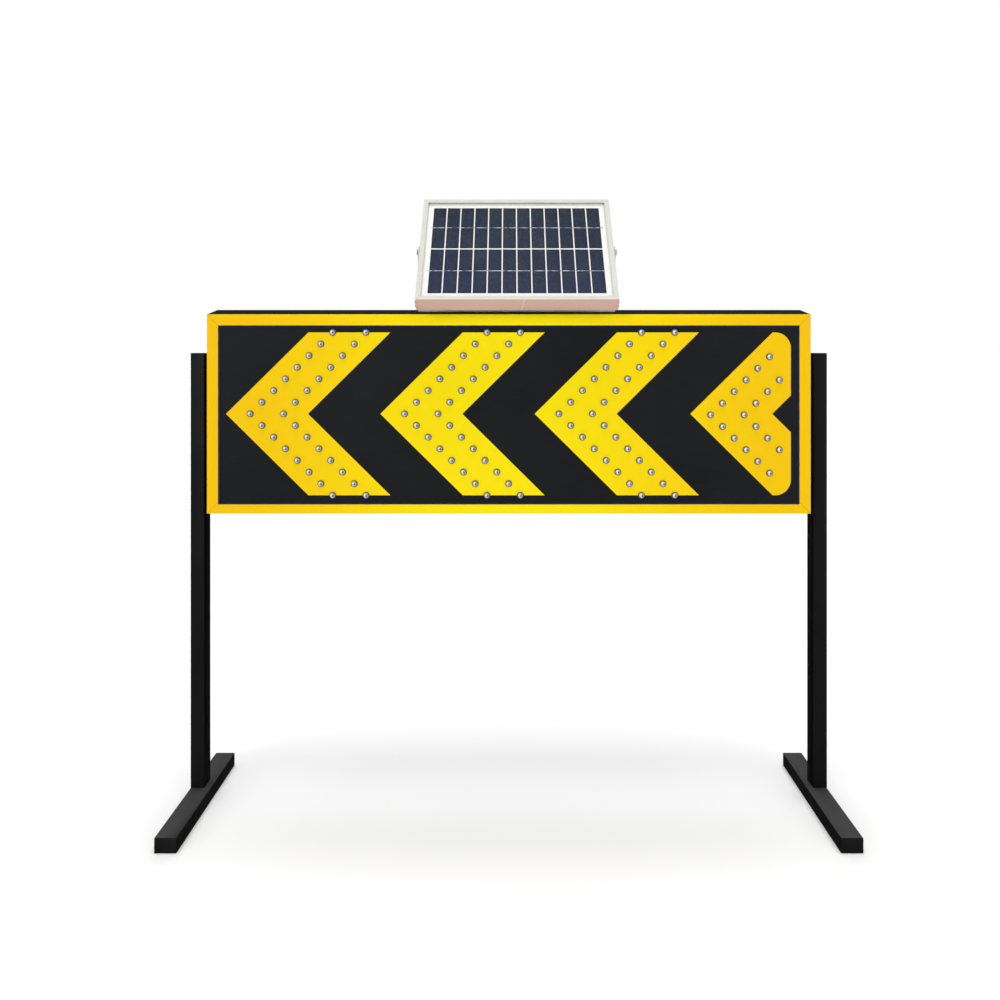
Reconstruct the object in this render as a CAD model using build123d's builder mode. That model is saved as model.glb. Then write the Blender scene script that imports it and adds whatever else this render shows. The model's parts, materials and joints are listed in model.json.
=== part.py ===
"""Free-standing solar chevron board: a lit arrow sign on two skid feet.

Row frame in millimetres: +X along the sign's width, +Z up, the lit face looks along -Y. The origin lies on
the ground, midway between the two feet and midway along them.
"""

import math
import os

from build123d import *

os.makedirs("parts", exist_ok=True)

# ---------------------------------------------------------------- driving dimensions
# Sign box
sign_width = 1200
sign_height = 396  # of the lit face; the roof climbs behind it
sign_depth = 70
ground_clearance = 579  # from the ground to the box's underside
roof_rise = 11.5  # the rain roof climbs this much from the bezel to the rear edge
wall = 2  # folded aluminium sheet
border = 22  # width of the yellow bezel's face
lower_border = 18  # and of its bottom bar

# Lit face, from front to back
bezel_thickness = 2
gasket_thickness = 1
gasket_show = 3.4  # of the gasket inside the bezel
panel_thickness = 2
flange_thickness = 2
sheeting_thickness = 0.5  # reflective film
edge_gap = 0.5  # between the face's plates and the housing's walls

# Chevrons, measured from the face's centre
chevron_first_tip = -562.5
chevron_pitch = 307
chevron_count = 4  # the last one is cropped by the sign's edge
chevron_margin = 36  # from the sign's edge to a chevron's corners
chevron_arm = 163  # width of an arm along X
crop_edge = 561  # right-hand edge of the cropped chevron
crop_radius = 31
crop_tip_shift = 2.5  # of the cropped chevron, off the even pitch

# Lamps
led_step_x = 23.4
led_row_gap = 66.4
led_setback = 48.3  # from a chevron's tip to its first lamp
crop_led_setback = 40.5
crop_led_drop = 2
full_steps = (7, 7)  # lamps each side of the tip lamp, outer row and inner row
crop_steps = (5, 3)
lens_radius = 5.6
lens_barrel_radius = 4
lens_hole_gap = 0.5
ring_gap = 0.25
ring_outer_radius = 6.9
ring_height = 1.5
shoulder_gap = 0.3

# Lamp boards
board_depth = 12  # from the sign's front to the board's front
board_thickness = 1.6
board_margin = 12  # board beyond the outer lamp rows
board_overhang = 8  # board above the top lamp
board_crop_edge = 572
standoff_radius = 2.75
standoff_snap_radius = 1.6
standoff_steps = (-5, -2, 2, 5)
crop_standoff_steps = (-3, -1, 1, 3)
connector_size = (12, 12, 8)  # along X, Z and Y
jumper_radius = 2.2

# Stand: one rectangular tube size throughout
tube_small = 27
tube_large = 40
tube_wall = 2
foot_length = 366
post_gap = 10  # between the box's side and the post
post_centre_y = sign_depth / 2
post_top_z = 898
cap_plate = 2
cap_plug = 12
plug_clearance = 0.2

# Side bolts, from the post into the box's side
side_bolt_heights = (640, 850)
side_bolt_radius = 5
side_bolt_head_radius = 8
side_bolt_head = 10
side_hole_clearance = 0.3
bolt_flange = 1.5  # thickness of the flange under a bolt head
access_hole_radius = 10
spacer_radius = 12
clinch_radius = 7
clinch_body_radius = 9.5
clinch_length = 12

# Foot bolts, from the foot up into the block in the post's end
foot_bolt_radius = 4
foot_bolt_head_radius = 6.5
foot_bolt_head = 6
foot_bolt_spread = 20
foot_bolt_access_radius = 9
base_block_height = 12

# Bezel studs
stud_radius = 2
stud_hole_gap = 0.3
stud_columns = 9
stud_rows = 2
stud_row_pitch = 140
nut_radius = 4
nut_height = 3.2
stud_length = 12  # from the bezel's front to a stud's end

# Rear door
door_x = 0
door_width = 380
door_height = 260
door_depth = 10
door_sheet = 2
door_overlap = 20  # of the door past its opening
door_seal_width = 7
door_seal_inset = 6
seal_gap = 0.3
skirt_gap = 0.5
hinge_height = 50
hinge_spread = 170
hinge_axis_out = 8  # from the door's edge and from the rear wall
hinge_barrel_radius = 5
hinge_pin_radius = 2.5
hinge_running_gap = 0.08
hinge_leaf = 2
hinge_leaf_width = 25
knuckle_gap = 0.4
lock_inset = 40  # from the door's edge to the lock
lock_heights = (60, -60)  # from the door's centre
lock_barrel_radius = 9
lock_flange_radius = 11.5
lock_plug_radius = 6
lock_plug_gap = 0.1
lock_slot = (1.6, 8, 1.2)
cam_length = 34
cam_width = 12
cam_thickness = 3
cam_wall_gap = 3  # between the cam and the rear wall's inner face

# Controls on the rear wall
switch_x = -250
switch_z = 24  # from the sign's centre
switch_radius = 10
switch_bezel_radius = 12.5
switch_bezel = 2
switch_body = 20
rocker_length = 14.4
rocker_width = 10
rocker_gap = 0.6
rocker_throw = 10  # degrees each side of level
rocker_pin_radius = 1.2
button_z = -24
button_radius = 8
button_bezel_radius = 10
button_cap_radius = 5
button_gap = 0.3
button_travel = 2
button_proud = 2.6
panel_hole_gap = 0.2

# Equipment behind the door
plate_depth = 24  # from the sign's front to the plate's front
plate_thickness = 1.5
plate_width = 300
plate_top = 110  # above the sign's centre
shelf_z = -97  # of the shelf's top, from the sign's centre
battery_size = (180, 38, 70)
battery_x = -40
strap_width = 20
strap_thickness = 1
controller_size = (120, 25, 80)
controller_z = 13  # of its underside, from the sign's centre
terminal_size = (100, 14, 12)
lead_radius = 2.5
lead_bend = 5

# Solar panel
solar_x = 16  # it sits a little to the right of the sign's middle
solar_width = 392
solar_length = 300
solar_thickness = 30
solar_tilt = 48  # degrees from level, facing forwards
solar_pivot_depth = 44  # from the sign's front to the pivot
solar_pivot_height = 120.5  # above the roof there
rail_lip = 10
rail_lip_thickness = 1.5
rail_wall = 2
rail_shelf = 8
rail_shelf_thickness = 1.2
rail_foot = 14
glass_thickness = 3
ribbon_thickness = 0.2
cell_thickness = 0.3
backsheet_thickness = 0.6
glazing_gap = 0.2
cell_columns = 12
cell_rows = 2
cell_field = (347, 255)
cell_field_shift = -1  # along the slope, towards the lower rail
cell_gap = (2.5, 3.6)
ribbon_width = 1.6
ribbon_overhang = 5
junction_size = (90, 60, 16)
junction_shift = 72
junction_lid = 2

# Solar bracket
bracket_sheet = 3
bracket_gap = 1  # between an arm and the panel's side
bracket_depth = 24
bracket_rivet_insets = (30, 70)  # from the arms
bracket_front = 42  # from the bezel's back to the bracket, along the roof
pivot_eye_radius = 12
pivot_radius = 3
pivot_shoulder_radius = 4.5
pivot_head_radius = 6
pivot_head = 2.5
pivot_nut_radius = 5.5
pivot_nut = 5
rivet_radius = 3
rivet_head_radius = 5.5
rivet_head = 2
rivet_tail_radius = 4
rivet_tail = 4

# Cable gland in the rear wall
gland_z = 153  # from the sign's centre
gland_thread_radius = 8
gland_hex_radius = 12
gland_bore_radius = 3

# ---------------------------------------------------------------- worked out from them
sign_centre_z = ground_clearance + sign_height / 2
sign_top_z = ground_clearance + sign_height
inner_half_width = sign_width / 2 - wall
inner_half_height = sign_height / 2 - wall
panel_front = bezel_thickness + gasket_thickness
panel_back = panel_front + panel_thickness
flange_back = panel_back + flange_thickness
sheet_front = panel_front - sheeting_thickness
rear_inner = sign_depth - wall
window = (sign_width - 2 * border, sign_height - border - lower_border)
window_z = (lower_border - border) / 2  # of its middle, from the sign's centre
chevron_half_height = sign_height / 2 - chevron_margin
led_step_z = chevron_half_height / full_steps[0]  # the end lamps sit on the chevron's edge
chevron_run = led_step_x * full_steps[0]  # from the tip back to the upper corner

face = Plane(origin=(0, 0, sign_centre_z), x_dir=(1, 0, 0), z_dir=(0, -1, 0))
roof_run = sign_depth - bezel_thickness
roof_angle = math.degrees(math.atan2(roof_rise, roof_run))
roof = Plane(
    origin=(0, bezel_thickness, sign_top_z),
    x_dir=(1, 0, 0),
    z_dir=(0, -math.sin(math.radians(roof_angle)), math.cos(math.radians(roof_angle))),
)

post_inner_x = sign_width / 2 + post_gap
post_centre_x = post_inner_x + tube_small / 2
post_outer_x = post_inner_x + tube_small
foot_centre_x = post_outer_x - tube_large / 2
sides = (-1, 1)


def depth(distance):
    """The plane that lies this far behind the sign's front, still facing forwards."""
    return face.offset(-distance)


def roof_z(y):
    """Height of the roof's outer surface at a depth."""
    return sign_top_z + roof_rise * (y - bezel_thickness) / roof_run


def save(builder, name):
    builder.part.label = name
    export_step(builder.part, f"parts/{name}.step")


def turned(name, plane, spots, sections, bore=None):
    """A stepped round piece at each spot of a plane. A section is (radius, start, end) along the normal."""
    with BuildPart() as piece:
        for radius, start, end in sections:
            with BuildSketch(plane.offset(start)):
                with Locations(*spots):
                    Circle(radius)
            extrude(amount=end - start)
        if bore:
            radius, start, end = bore
            with BuildSketch(plane.offset(start)):
                with Locations(*spots):
                    Circle(radius)
            extrude(amount=end - start, mode=Mode.SUBTRACT)
    save(piece, name)


# ---------------------------------------------------------------- places that several pieces share
last = chevron_count - 1
chevron_tips = [chevron_first_tip + chevron_pitch * i for i in range(chevron_count)]
chevron_tips[last] += crop_tip_shift


def lamp_setback(index):
    return crop_led_setback if index == last else led_setback


def lamp_spots(index):
    """Centres of one chevron's lamps on the face: an outer and an inner row, both bent at the tip's height."""
    spots = []
    row_starts = (lamp_setback(index), lamp_setback(index) + led_row_gap)
    drop = crop_led_drop if index == last else 0
    for row_start, steps in zip(row_starts, crop_steps if index == last else full_steps):
        for step in range(-steps, steps + 1):
            x = chevron_tips[index] + row_start + abs(step) * led_step_x
            spots.append((x, step * led_step_z - drop))
    return spots


def board_spots(index):
    """Fixing points of one lamp board, midway between its two rows of lamps."""
    middle = chevron_tips[index] + lamp_setback(index) + led_row_gap / 2
    steps = crop_standoff_steps if index == last else standoff_steps
    return [(middle + abs(s) * led_step_x, s * led_step_z) for s in steps]


def stud_spots():
    """The bezel's studs, on the middle of the housing's front flange."""
    x_edge = (inner_half_width + window[0] / 2) / 2
    z_edges = [side * inner_half_height / 2 + (window_z + side * window[1] / 2) / 2 for side in sides]
    column_pitch = 2 * x_edge / (stud_columns - 1)
    rows = [stud_row_pitch * (i - (stud_rows - 1) / 2) for i in range(stud_rows)]
    spots = [(-x_edge + column_pitch * i, z) for i in range(stud_columns) for z in z_edges]
    return spots + [(x, z) for x in (-x_edge, x_edge) for z in rows]


all_lamps = [spot for i in range(chevron_count) for spot in lamp_spots(i)]
studs = stud_spots()
lens_hole_radius = lens_barrel_radius + lens_hole_gap
stud_hole_radius = stud_radius + stud_hole_gap


def chevron_outline(tip, run, arm, half_height):
    """Draws a left-pointing chevron inside a sketch."""
    Polygon(
        (tip, 0),
        (tip + run, half_height),
        (tip + run + arm, half_height),
        (tip + arm, 0),
        (tip + run + arm, -half_height),
        (tip + run, -half_height),
        align=None,
    )


def crop_outline(edge, half_height, radius):
    """Crops a sketch at a rounded right-hand edge."""
    with Locations((edge / 2 - sign_width / 2, 0)):
        RectangleRounded(edge + sign_width, 2 * half_height, radius, mode=Mode.INTERSECT)


# ---------------------------------------------------------------- lit face
with BuildPart() as front_bezel:
    with BuildSketch(depth(bezel_thickness)):
        Rectangle(sign_width, sign_height)
        with Locations((0, window_z)):
            Rectangle(*window, mode=Mode.SUBTRACT)
    extrude(amount=bezel_thickness)
    chamfer(front_bezel.faces().sort_by(Axis.Y)[0].edges(), length=0.6)
    with BuildSketch(depth(bezel_thickness)):
        with Locations(*studs):
            Circle(stud_radius)
    extrude(amount=-(stud_length - bezel_thickness))
save(front_bezel, "front_bezel")

with BuildPart() as bezel_nuts:
    with BuildSketch(depth(flange_back + nut_height)):
        with Locations(*studs):
            RegularPolygon(nut_radius, 6)
            Circle(stud_radius + 0.1, mode=Mode.SUBTRACT)
    extrude(amount=nut_height)
save(bezel_nuts, "bezel_nuts")

plate_size = (2 * (inner_half_width - edge_gap), 2 * (inner_half_height - edge_gap))

with BuildPart() as panel_gasket:
    with BuildSketch(depth(panel_front)):
        Rectangle(*plate_size)
        with Locations((0, window_z)):
            Rectangle(window[0] - 2 * gasket_show, window[1] - 2 * gasket_show, mode=Mode.SUBTRACT)
        with Locations(*studs):
            Circle(stud_hole_radius, mode=Mode.SUBTRACT)
    extrude(amount=gasket_thickness)
save(panel_gasket, "panel_gasket")

with BuildPart() as front_panel:
    with BuildSketch(depth(panel_back)):
        Rectangle(*plate_size)
        with Locations(*studs):
            Circle(stud_hole_radius, mode=Mode.SUBTRACT)
        with Locations(*all_lamps):
            Circle(lens_hole_radius, mode=Mode.SUBTRACT)
    extrude(amount=panel_thickness)
save(front_panel, "front_panel")

for index, tip in enumerate(chevron_tips):
    with BuildPart() as chevron_sheet:
        with BuildSketch(depth(panel_front)):
            chevron_outline(tip, chevron_run, chevron_arm, chevron_half_height)
            if index == last:
                crop_outline(crop_edge, chevron_half_height, crop_radius)
            with Locations(*lamp_spots(index)):
                Circle(lens_hole_radius, mode=Mode.SUBTRACT)
        extrude(amount=sheeting_thickness)
    save(chevron_sheet, f"chevron_sheet_{index + 1}")

# ---------------------------------------------------------------- lamps and their boards
dome_base = sheet_front - shoulder_gap  # depth of the lens's shoulder
dome_centre = dome_base - 0.6

with BuildPart() as lens_pattern:
    with BuildSketch(Plane.XY):
        with BuildLine():
            Polyline(
                (0, board_depth),
                (lens_barrel_radius, board_depth),
                (lens_barrel_radius, dome_base),
                (lens_radius, dome_base),
                (lens_radius, dome_centre),
            )
            RadiusArc((lens_radius, dome_centre), (0, dome_centre - lens_radius), lens_radius)
            Line((0, dome_centre - lens_radius), (0, board_depth))
        make_face()
    revolve(axis=Axis.Y)

with BuildPart() as led_lenses:
    with Locations(*[(x, 0, sign_centre_z + z) for x, z in all_lamps]):
        add(lens_pattern.part)
save(led_lenses, "led_lenses")

with BuildPart() as led_rings:
    with BuildSketch(depth(sheet_front)):
        with Locations(*all_lamps):
            Circle(ring_outer_radius)
    extrude(amount=ring_height, taper=12)
    with BuildSketch(depth(sheet_front)):
        with Locations(*all_lamps):
            Circle(lens_radius + ring_gap)
    extrude(amount=ring_height, mode=Mode.SUBTRACT)
save(led_rings, "led_rings")

all_board_spots = [spot for i in range(chevron_count) for spot in board_spots(i)]
board_back = board_depth + board_thickness
board_arm = led_row_gap + 2 * board_margin
board_half_height = chevron_half_height + board_overhang
board_run = led_step_x * board_half_height / led_step_z
with BuildPart() as led_boards:
    for index, tip in enumerate(chevron_tips):
        with BuildSketch(depth(board_back)):
            chevron_outline(tip + lamp_setback(index) - board_margin, board_run, board_arm, board_half_height)
            if index == last:
                crop_outline(board_crop_edge, board_half_height, crop_radius)
            with Locations(*board_spots(index)):
                Circle(standoff_snap_radius, mode=Mode.SUBTRACT)
        extrude(amount=board_thickness)
save(led_boards, "led_boards")

turned(
    "board_standoffs",
    face,
    all_board_spots,
    [
        (standoff_radius, -board_depth, -panel_back),
        (standoff_snap_radius, -board_back - 0.1, -board_depth),
        (standoff_snap_radius + 0.8, -board_back - 2, -board_back),
    ],
)

connector_centres = [
    chevron_tips[i] + lamp_setback(i) + led_row_gap / 2 for i in range(chevron_count)
]
connector_back = board_back + connector_size[2]
with BuildPart() as board_connectors:
    with BuildSketch(depth(connector_back)):
        with Locations(*[(x, 0) for x in connector_centres]):
            Rectangle(connector_size[0], connector_size[1])
    extrude(amount=connector_size[2])
save(board_connectors, "board_connectors")

connector_middle = board_back + connector_size[2] / 2
with BuildPart() as led_jumper_cables:
    for left, right in zip(connector_centres, connector_centres[1:]):
        start = left + connector_size[0] / 2
        end = right - connector_size[0] / 2
        with BuildSketch(Plane(origin=(start, connector_middle, sign_centre_z), z_dir=(1, 0, 0))):
            Circle(jumper_radius)
        extrude(amount=end - start)
save(led_jumper_cables, "led_jumper_cables")

# ---------------------------------------------------------------- housing
opening = (door_width - 2 * door_overlap, door_height - 2 * door_overlap)
gland_spot = (solar_x, gland_z)
switch_spot = (switch_x, switch_z)
button_spot = (switch_x, button_z)
bracket_half_span = solar_width / 2 + bracket_gap + bracket_sheet
bracket_rivet_spots = [
    (solar_x + side * (bracket_half_span - inset), bracket_front + bracket_depth / 2)
    for side in sides
    for inset in bracket_rivet_insets
]
side_bolt_spots = [(post_centre_y, z) for z in side_bolt_heights]

with BuildPart() as rear_housing:
    with BuildSketch(Plane.YZ.offset(-sign_width / 2)):
        with BuildLine():
            Polyline(
                (bezel_thickness, ground_clearance),
                (sign_depth, ground_clearance),
                (sign_depth, roof_z(sign_depth)),
                (bezel_thickness, sign_top_z),
                close=True,
            )
        make_face()
    extrude(amount=sign_width)
    with BuildSketch(Plane.YZ.offset(-inner_half_width)):
        with BuildLine():
            Polyline(
                (flange_back, ground_clearance + wall),
                (rear_inner, ground_clearance + wall),
                (rear_inner, roof_z(rear_inner) - wall),
                (flange_back, roof_z(flange_back) - wall),
                close=True,
            )
        make_face()
    extrude(amount=2 * inner_half_width, mode=Mode.SUBTRACT)
    with BuildSketch(depth(bezel_thickness)):
        Rectangle(2 * inner_half_width, 2 * inner_half_height)
    extrude(amount=-(panel_back - bezel_thickness), mode=Mode.SUBTRACT)
    with BuildSketch(depth(panel_back)):
        with Locations((0, window_z)):
            Rectangle(*window)
        with Locations(*studs):
            Circle(stud_hole_radius)
    extrude(amount=-flange_thickness, mode=Mode.SUBTRACT)
    with BuildSketch(depth(rear_inner)):
        with Locations((door_x, 0)):
            RectangleRounded(*opening, 12)
        with Locations(gland_spot):
            Circle(gland_thread_radius + panel_hole_gap)
        with Locations(switch_spot):
            Circle(switch_radius + panel_hole_gap)
        with Locations(button_spot):
            Circle(button_radius + panel_hole_gap)
    extrude(amount=-wall, mode=Mode.SUBTRACT)
    with BuildSketch(Plane.YZ.offset(-sign_width / 2)):
        with Locations(*side_bolt_spots):
            Circle(clinch_radius + plug_clearance)
    extrude(amount=sign_width, mode=Mode.SUBTRACT)
    with BuildSketch(roof):
        with Locations(*bracket_rivet_spots):
            Circle(rivet_radius + hinge_running_gap)
    extrude(amount=-2 * wall, mode=Mode.SUBTRACT)
save(rear_housing, "rear_housing")


# ---------------------------------------------------------------- stand
def tube_section(width, height):
    Rectangle(width, height)
    Rectangle(width - 2 * tube_wall, height - 2 * tube_wall, mode=Mode.SUBTRACT)


foot_bolt_spots = [post_centre_y + side * foot_bolt_spread / 2 for side in sides]
post_length = post_top_z - cap_plate - tube_small
foot_tube_length = foot_length - 2 * cap_plate

for side, hand in zip(sides, ("left", "right")):
    with BuildPart() as post:
        with BuildSketch(Plane.XY.offset(tube_small)):
            with Locations((side * post_centre_x, post_centre_y)):
                tube_section(tube_small, tube_large)
        extrude(amount=post_length)
        with BuildSketch(Plane.YZ.offset(side * post_inner_x)):
            with Locations(*side_bolt_spots):
                Circle(side_bolt_radius + side_hole_clearance)
        extrude(amount=side * tube_small, mode=Mode.SUBTRACT)
        with BuildSketch(Plane.YZ.offset(side * post_centre_x)):
            with Locations(*side_bolt_spots):
                Circle(access_hole_radius)
        extrude(amount=side * tube_small, mode=Mode.SUBTRACT)
    save(post, f"{hand}_post")

    with BuildPart() as foot:
        with BuildSketch(Plane.XZ.offset(-foot_tube_length / 2)):
            with Locations((side * foot_centre_x, tube_small / 2)):
                tube_section(tube_large, tube_small)
        extrude(amount=foot_tube_length)
        with BuildSketch(Plane.XY.offset(tube_small / 2)):
            with Locations(*[(side * post_centre_x, y) for y in foot_bolt_spots]):
                Circle(foot_bolt_radius + side_hole_clearance)
        extrude(amount=tube_small, mode=Mode.SUBTRACT)
        with BuildSketch(Plane.XY.offset(tube_small / 2)):
            with Locations(*[(side * post_centre_x, y) for y in foot_bolt_spots]):
                Circle(foot_bolt_access_radius)
        extrude(amount=-tube_small, mode=Mode.SUBTRACT)
    save(foot, f"{hand}_foot")


def end_caps(name, planes, width, height, spots):
    """Plastic caps: a plate that closes a tube's end, and a plug that goes inside it."""
    inset = 2 * (tube_wall + plug_clearance)
    with BuildPart() as caps:
        for plane, spot in zip(planes, spots):
            with BuildSketch(plane):
                with Locations(spot):
                    RectangleRounded(width, height, 1)
            extrude(amount=cap_plate)
            with BuildSketch(plane):
                with Locations(spot):
                    Rectangle(width - inset, height - inset)
            extrude(amount=-cap_plug)
    save(caps, name)


post_end = Plane.XY.offset(post_top_z - cap_plate)
end_caps(
    "post_top_caps",
    [post_end] * 2,
    tube_small,
    tube_large,
    [(side * post_centre_x, post_centre_y) for side in sides],
)
foot_front_end = Plane.XZ.offset(foot_tube_length / 2)
foot_back_end = Plane(origin=(0, foot_tube_length / 2, 0), x_dir=(-1, 0, 0), z_dir=(0, 1, 0))
end_caps(
    "foot_end_caps",
    [foot_front_end, foot_front_end, foot_back_end, foot_back_end],
    tube_large,
    tube_small,
    [(side * foot_centre_x, tube_small / 2) for side in (*sides, *sides)],
)

with BuildPart() as post_base_blocks:
    with BuildSketch(Plane.XY.offset(tube_small)):
        inset = 2 * (tube_wall + plug_clearance)
        with Locations(*[(side * post_centre_x, post_centre_y) for side in sides]):
            Rectangle(tube_small - inset, tube_large - inset)
        with Locations(*[(side * post_centre_x, y) for side in sides for y in foot_bolt_spots]):
            Circle(foot_bolt_radius + 0.1, mode=Mode.SUBTRACT)
    extrude(amount=base_block_height)
save(post_base_blocks, "post_base_blocks")

under_post = Plane.XY.offset(tube_small - tube_wall)  # inside the foot's upper wall
foot_bolt_places = [(side * post_centre_x, y) for side in sides for y in foot_bolt_spots]
turned(
    "foot_bolts",
    under_post,
    foot_bolt_places,
    [
        (foot_bolt_head_radius, -foot_bolt_head, 0),
        (foot_bolt_head_radius + 1.5, -bolt_flange, 0),
        (foot_bolt_radius, 0, tube_wall + base_block_height),
    ],
    bore=(3, -foot_bolt_head, -foot_bolt_head / 2),
)


def mirrored_turned(name, x_start, sections, bore=None):
    """Stepped round pieces on the side bolts' axes, on both sides of the sign, measured outwards from x_start."""
    with BuildPart() as piece:
        for side in sides:
            for radius, start, end in sections:
                with BuildSketch(Plane.YZ.offset(side * (x_start + start))):
                    with Locations(*side_bolt_spots):
                        Circle(radius)
                extrude(amount=side * (end - start))
            if bore:
                radius, start, end = bore
                with BuildSketch(Plane.YZ.offset(side * (x_start + start))):
                    with Locations(*side_bolt_spots):
                        Circle(radius)
                extrude(amount=side * (end - start), mode=Mode.SUBTRACT)
    save(piece, name)


side_bore = side_bolt_radius + side_hole_clearance
half_sign = sign_width / 2
head_seat = post_gap + tube_wall
mirrored_turned(
    "side_clinch_nuts",
    half_sign,
    [(clinch_body_radius, -wall - clinch_length, -wall), (clinch_radius, -wall, 0)],
    bore=(side_bolt_radius + 0.1, -wall - clinch_length, 0),
)
mirrored_turned("side_spacers", half_sign, [(spacer_radius, 0, post_gap)], bore=(side_bore, 0, post_gap))
mirrored_turned(
    "side_bolts",
    half_sign,
    [
        (side_bolt_radius, -wall - clinch_length + 1, head_seat),
        (side_bolt_head_radius, head_seat, head_seat + side_bolt_head),
        (side_bolt_head_radius + 1, head_seat, head_seat + bolt_flange),
    ],
    bore=(4, head_seat + side_bolt_head / 2, head_seat + side_bolt_head),
)
mirrored_turned(
    "side_hole_plugs",
    post_outer_x,
    [(access_hole_radius - plug_clearance, -tube_wall - 3, 0)],
)

# ---------------------------------------------------------------- rear door
door_edge_x = door_x + door_width / 2
door_plate_front = sign_depth + door_depth - door_sheet
hinge_x = door_edge_x + hinge_axis_out
hinge_y = sign_depth + hinge_axis_out
lock_x = door_x - door_width / 2 + lock_inset
lock_spots = [(lock_x, z) for z in lock_heights]
rear_face = depth(sign_depth)

with BuildPart() as door_seal:
    with BuildSketch(depth(door_plate_front - seal_gap)):
        outer = (door_width - 2 * door_seal_inset, door_height - 2 * door_seal_inset)
        with Locations((door_x, 0)):
            RectangleRounded(*outer, 8)
            RectangleRounded(outer[0] - 2 * door_seal_width, outer[1] - 2 * door_seal_width, 4, mode=Mode.SUBTRACT)
    extrude(amount=door_plate_front - seal_gap - sign_depth)
save(door_seal, "door_seal")

with BuildPart() as access_door:
    with BuildSketch(depth(sign_depth + door_depth)):
        with Locations((door_x, 0)):
            RectangleRounded(door_width, door_height, 4)
    extrude(amount=door_depth - skirt_gap)
    with BuildSketch(depth(door_plate_front)):
        with Locations((door_x, 0)):
            RectangleRounded(door_width - 2 * door_sheet, door_height - 2 * door_sheet, 2)
    extrude(amount=door_depth, mode=Mode.SUBTRACT)
    with BuildSketch(depth(sign_depth + door_depth)):
        with Locations(*lock_spots):
            Circle(lock_barrel_radius + panel_hole_gap)
    extrude(amount=door_sheet, mode=Mode.SUBTRACT)
    chamfer(access_door.faces().sort_by(Axis.Y)[-1].outer_wire().edges(), length=0.8)
save(access_door, "access_door")

hinge_places = [side * hinge_spread / 2 for side in sides]
knuckle = hinge_height / 3
barrel_bore = hinge_pin_radius + hinge_running_gap

with BuildPart() as fixed_hinge_leaves:
    for z in hinge_places:
        leaf_base = sign_centre_z + z
        with BuildSketch(depth(sign_depth + hinge_leaf)):
            with Locations((hinge_x + hinge_leaf_width / 2 - hinge_barrel_radius + 1, z)):
                Rectangle(hinge_leaf_width, hinge_height)
        extrude(amount=hinge_leaf)
        for low in (-hinge_height / 2, hinge_height / 2 - knuckle + knuckle_gap):
            with BuildSketch(Plane.XY.offset(leaf_base + low)):
                with Locations((hinge_x, hinge_y)):
                    Circle(hinge_barrel_radius)
                with Locations((hinge_x, (sign_depth + hinge_y) / 2)):
                    Rectangle(2 * (hinge_barrel_radius - 1), hinge_axis_out)
                with Locations((hinge_x, hinge_y)):
                    Circle(barrel_bore, mode=Mode.SUBTRACT)
            extrude(amount=knuckle - knuckle_gap)
save(fixed_hinge_leaves, "fixed_hinge_leaves")

door_face_y = sign_depth + door_depth
with BuildPart() as door_hinge_leaves:
    for z in hinge_places:
        leaf_base = sign_centre_z + z
        with BuildSketch(depth(door_face_y + hinge_leaf)):
            with Locations((door_edge_x - hinge_leaf_width / 2, z)):
                Rectangle(hinge_leaf_width, hinge_height)
        extrude(amount=hinge_leaf)
        with BuildSketch(Plane.XY.offset(leaf_base - knuckle / 2)):
            with Locations((hinge_x, hinge_y)):
                Circle(hinge_barrel_radius)
            with Locations(((door_edge_x + hinge_x) / 2 - 1, door_face_y + hinge_leaf / 2)):
                Rectangle(hinge_axis_out + 2, hinge_leaf)
            with Locations((hinge_x, hinge_y)):
                Circle(barrel_bore, mode=Mode.SUBTRACT)
        extrude(amount=knuckle)
save(door_hinge_leaves, "door_hinge_leaves")

with BuildPart() as hinge_pins:
    for z in hinge_places:
        with BuildSketch(Plane.XY.offset(sign_centre_z + z - hinge_height / 2)):
            with Locations((hinge_x, hinge_y)):
                Circle(hinge_pin_radius)
        extrude(amount=hinge_height)
        with BuildSketch(Plane.XY.offset(sign_centre_z + z + hinge_height / 2)):
            with Locations((hinge_x, hinge_y)):
                Circle(hinge_pin_radius + 1.5)
        extrude(amount=1.5)
save(hinge_pins, "hinge_pins")

cam_back = rear_inner - cam_wall_gap
cam_front = cam_back - cam_thickness
lock_outer = door_face_y + 2
behind = Plane(origin=(0, 0, sign_centre_z), x_dir=(-1, 0, 0), z_dir=(0, 1, 0))  # looks out of the rear wall


def mirrored_spots(spots):
    """Face spots as they read on the plane that looks out of the rear."""
    return [(-x, z) for x, z in spots]


turned(
    "lock_barrels",
    behind,
    mirrored_spots(lock_spots),
    [
        (lock_barrel_radius, cam_back + 0.5, door_face_y),
        (lock_flange_radius, door_face_y, lock_outer),
    ],
    bore=(lock_plug_radius + lock_plug_gap, cam_back + 0.5, lock_outer),
)

for name, spot in zip(("upper", "lower"), lock_spots):
    with BuildPart() as lock_plug:
        with BuildSketch(behind.offset(cam_front)):
            with Locations(*mirrored_spots([spot])):
                Circle(lock_plug_radius)
        extrude(amount=lock_outer - cam_front + 0.4)
        with BuildSketch(behind.offset(lock_outer + 0.4)):
            with Locations(*mirrored_spots([spot])):
                Rectangle(lock_slot[0], lock_slot[1])
        extrude(amount=-lock_slot[2], mode=Mode.SUBTRACT)
        with BuildSketch(behind.offset(cam_front)):
            with Locations(*mirrored_spots([(spot[0], spot[1] - cam_length / 2 + cam_width / 4)])):
                SlotOverall(cam_length + cam_width / 2, cam_width, rotation=90)
        extrude(amount=cam_thickness)
    save(lock_plug, f"{name}_lock_plug")

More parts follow.
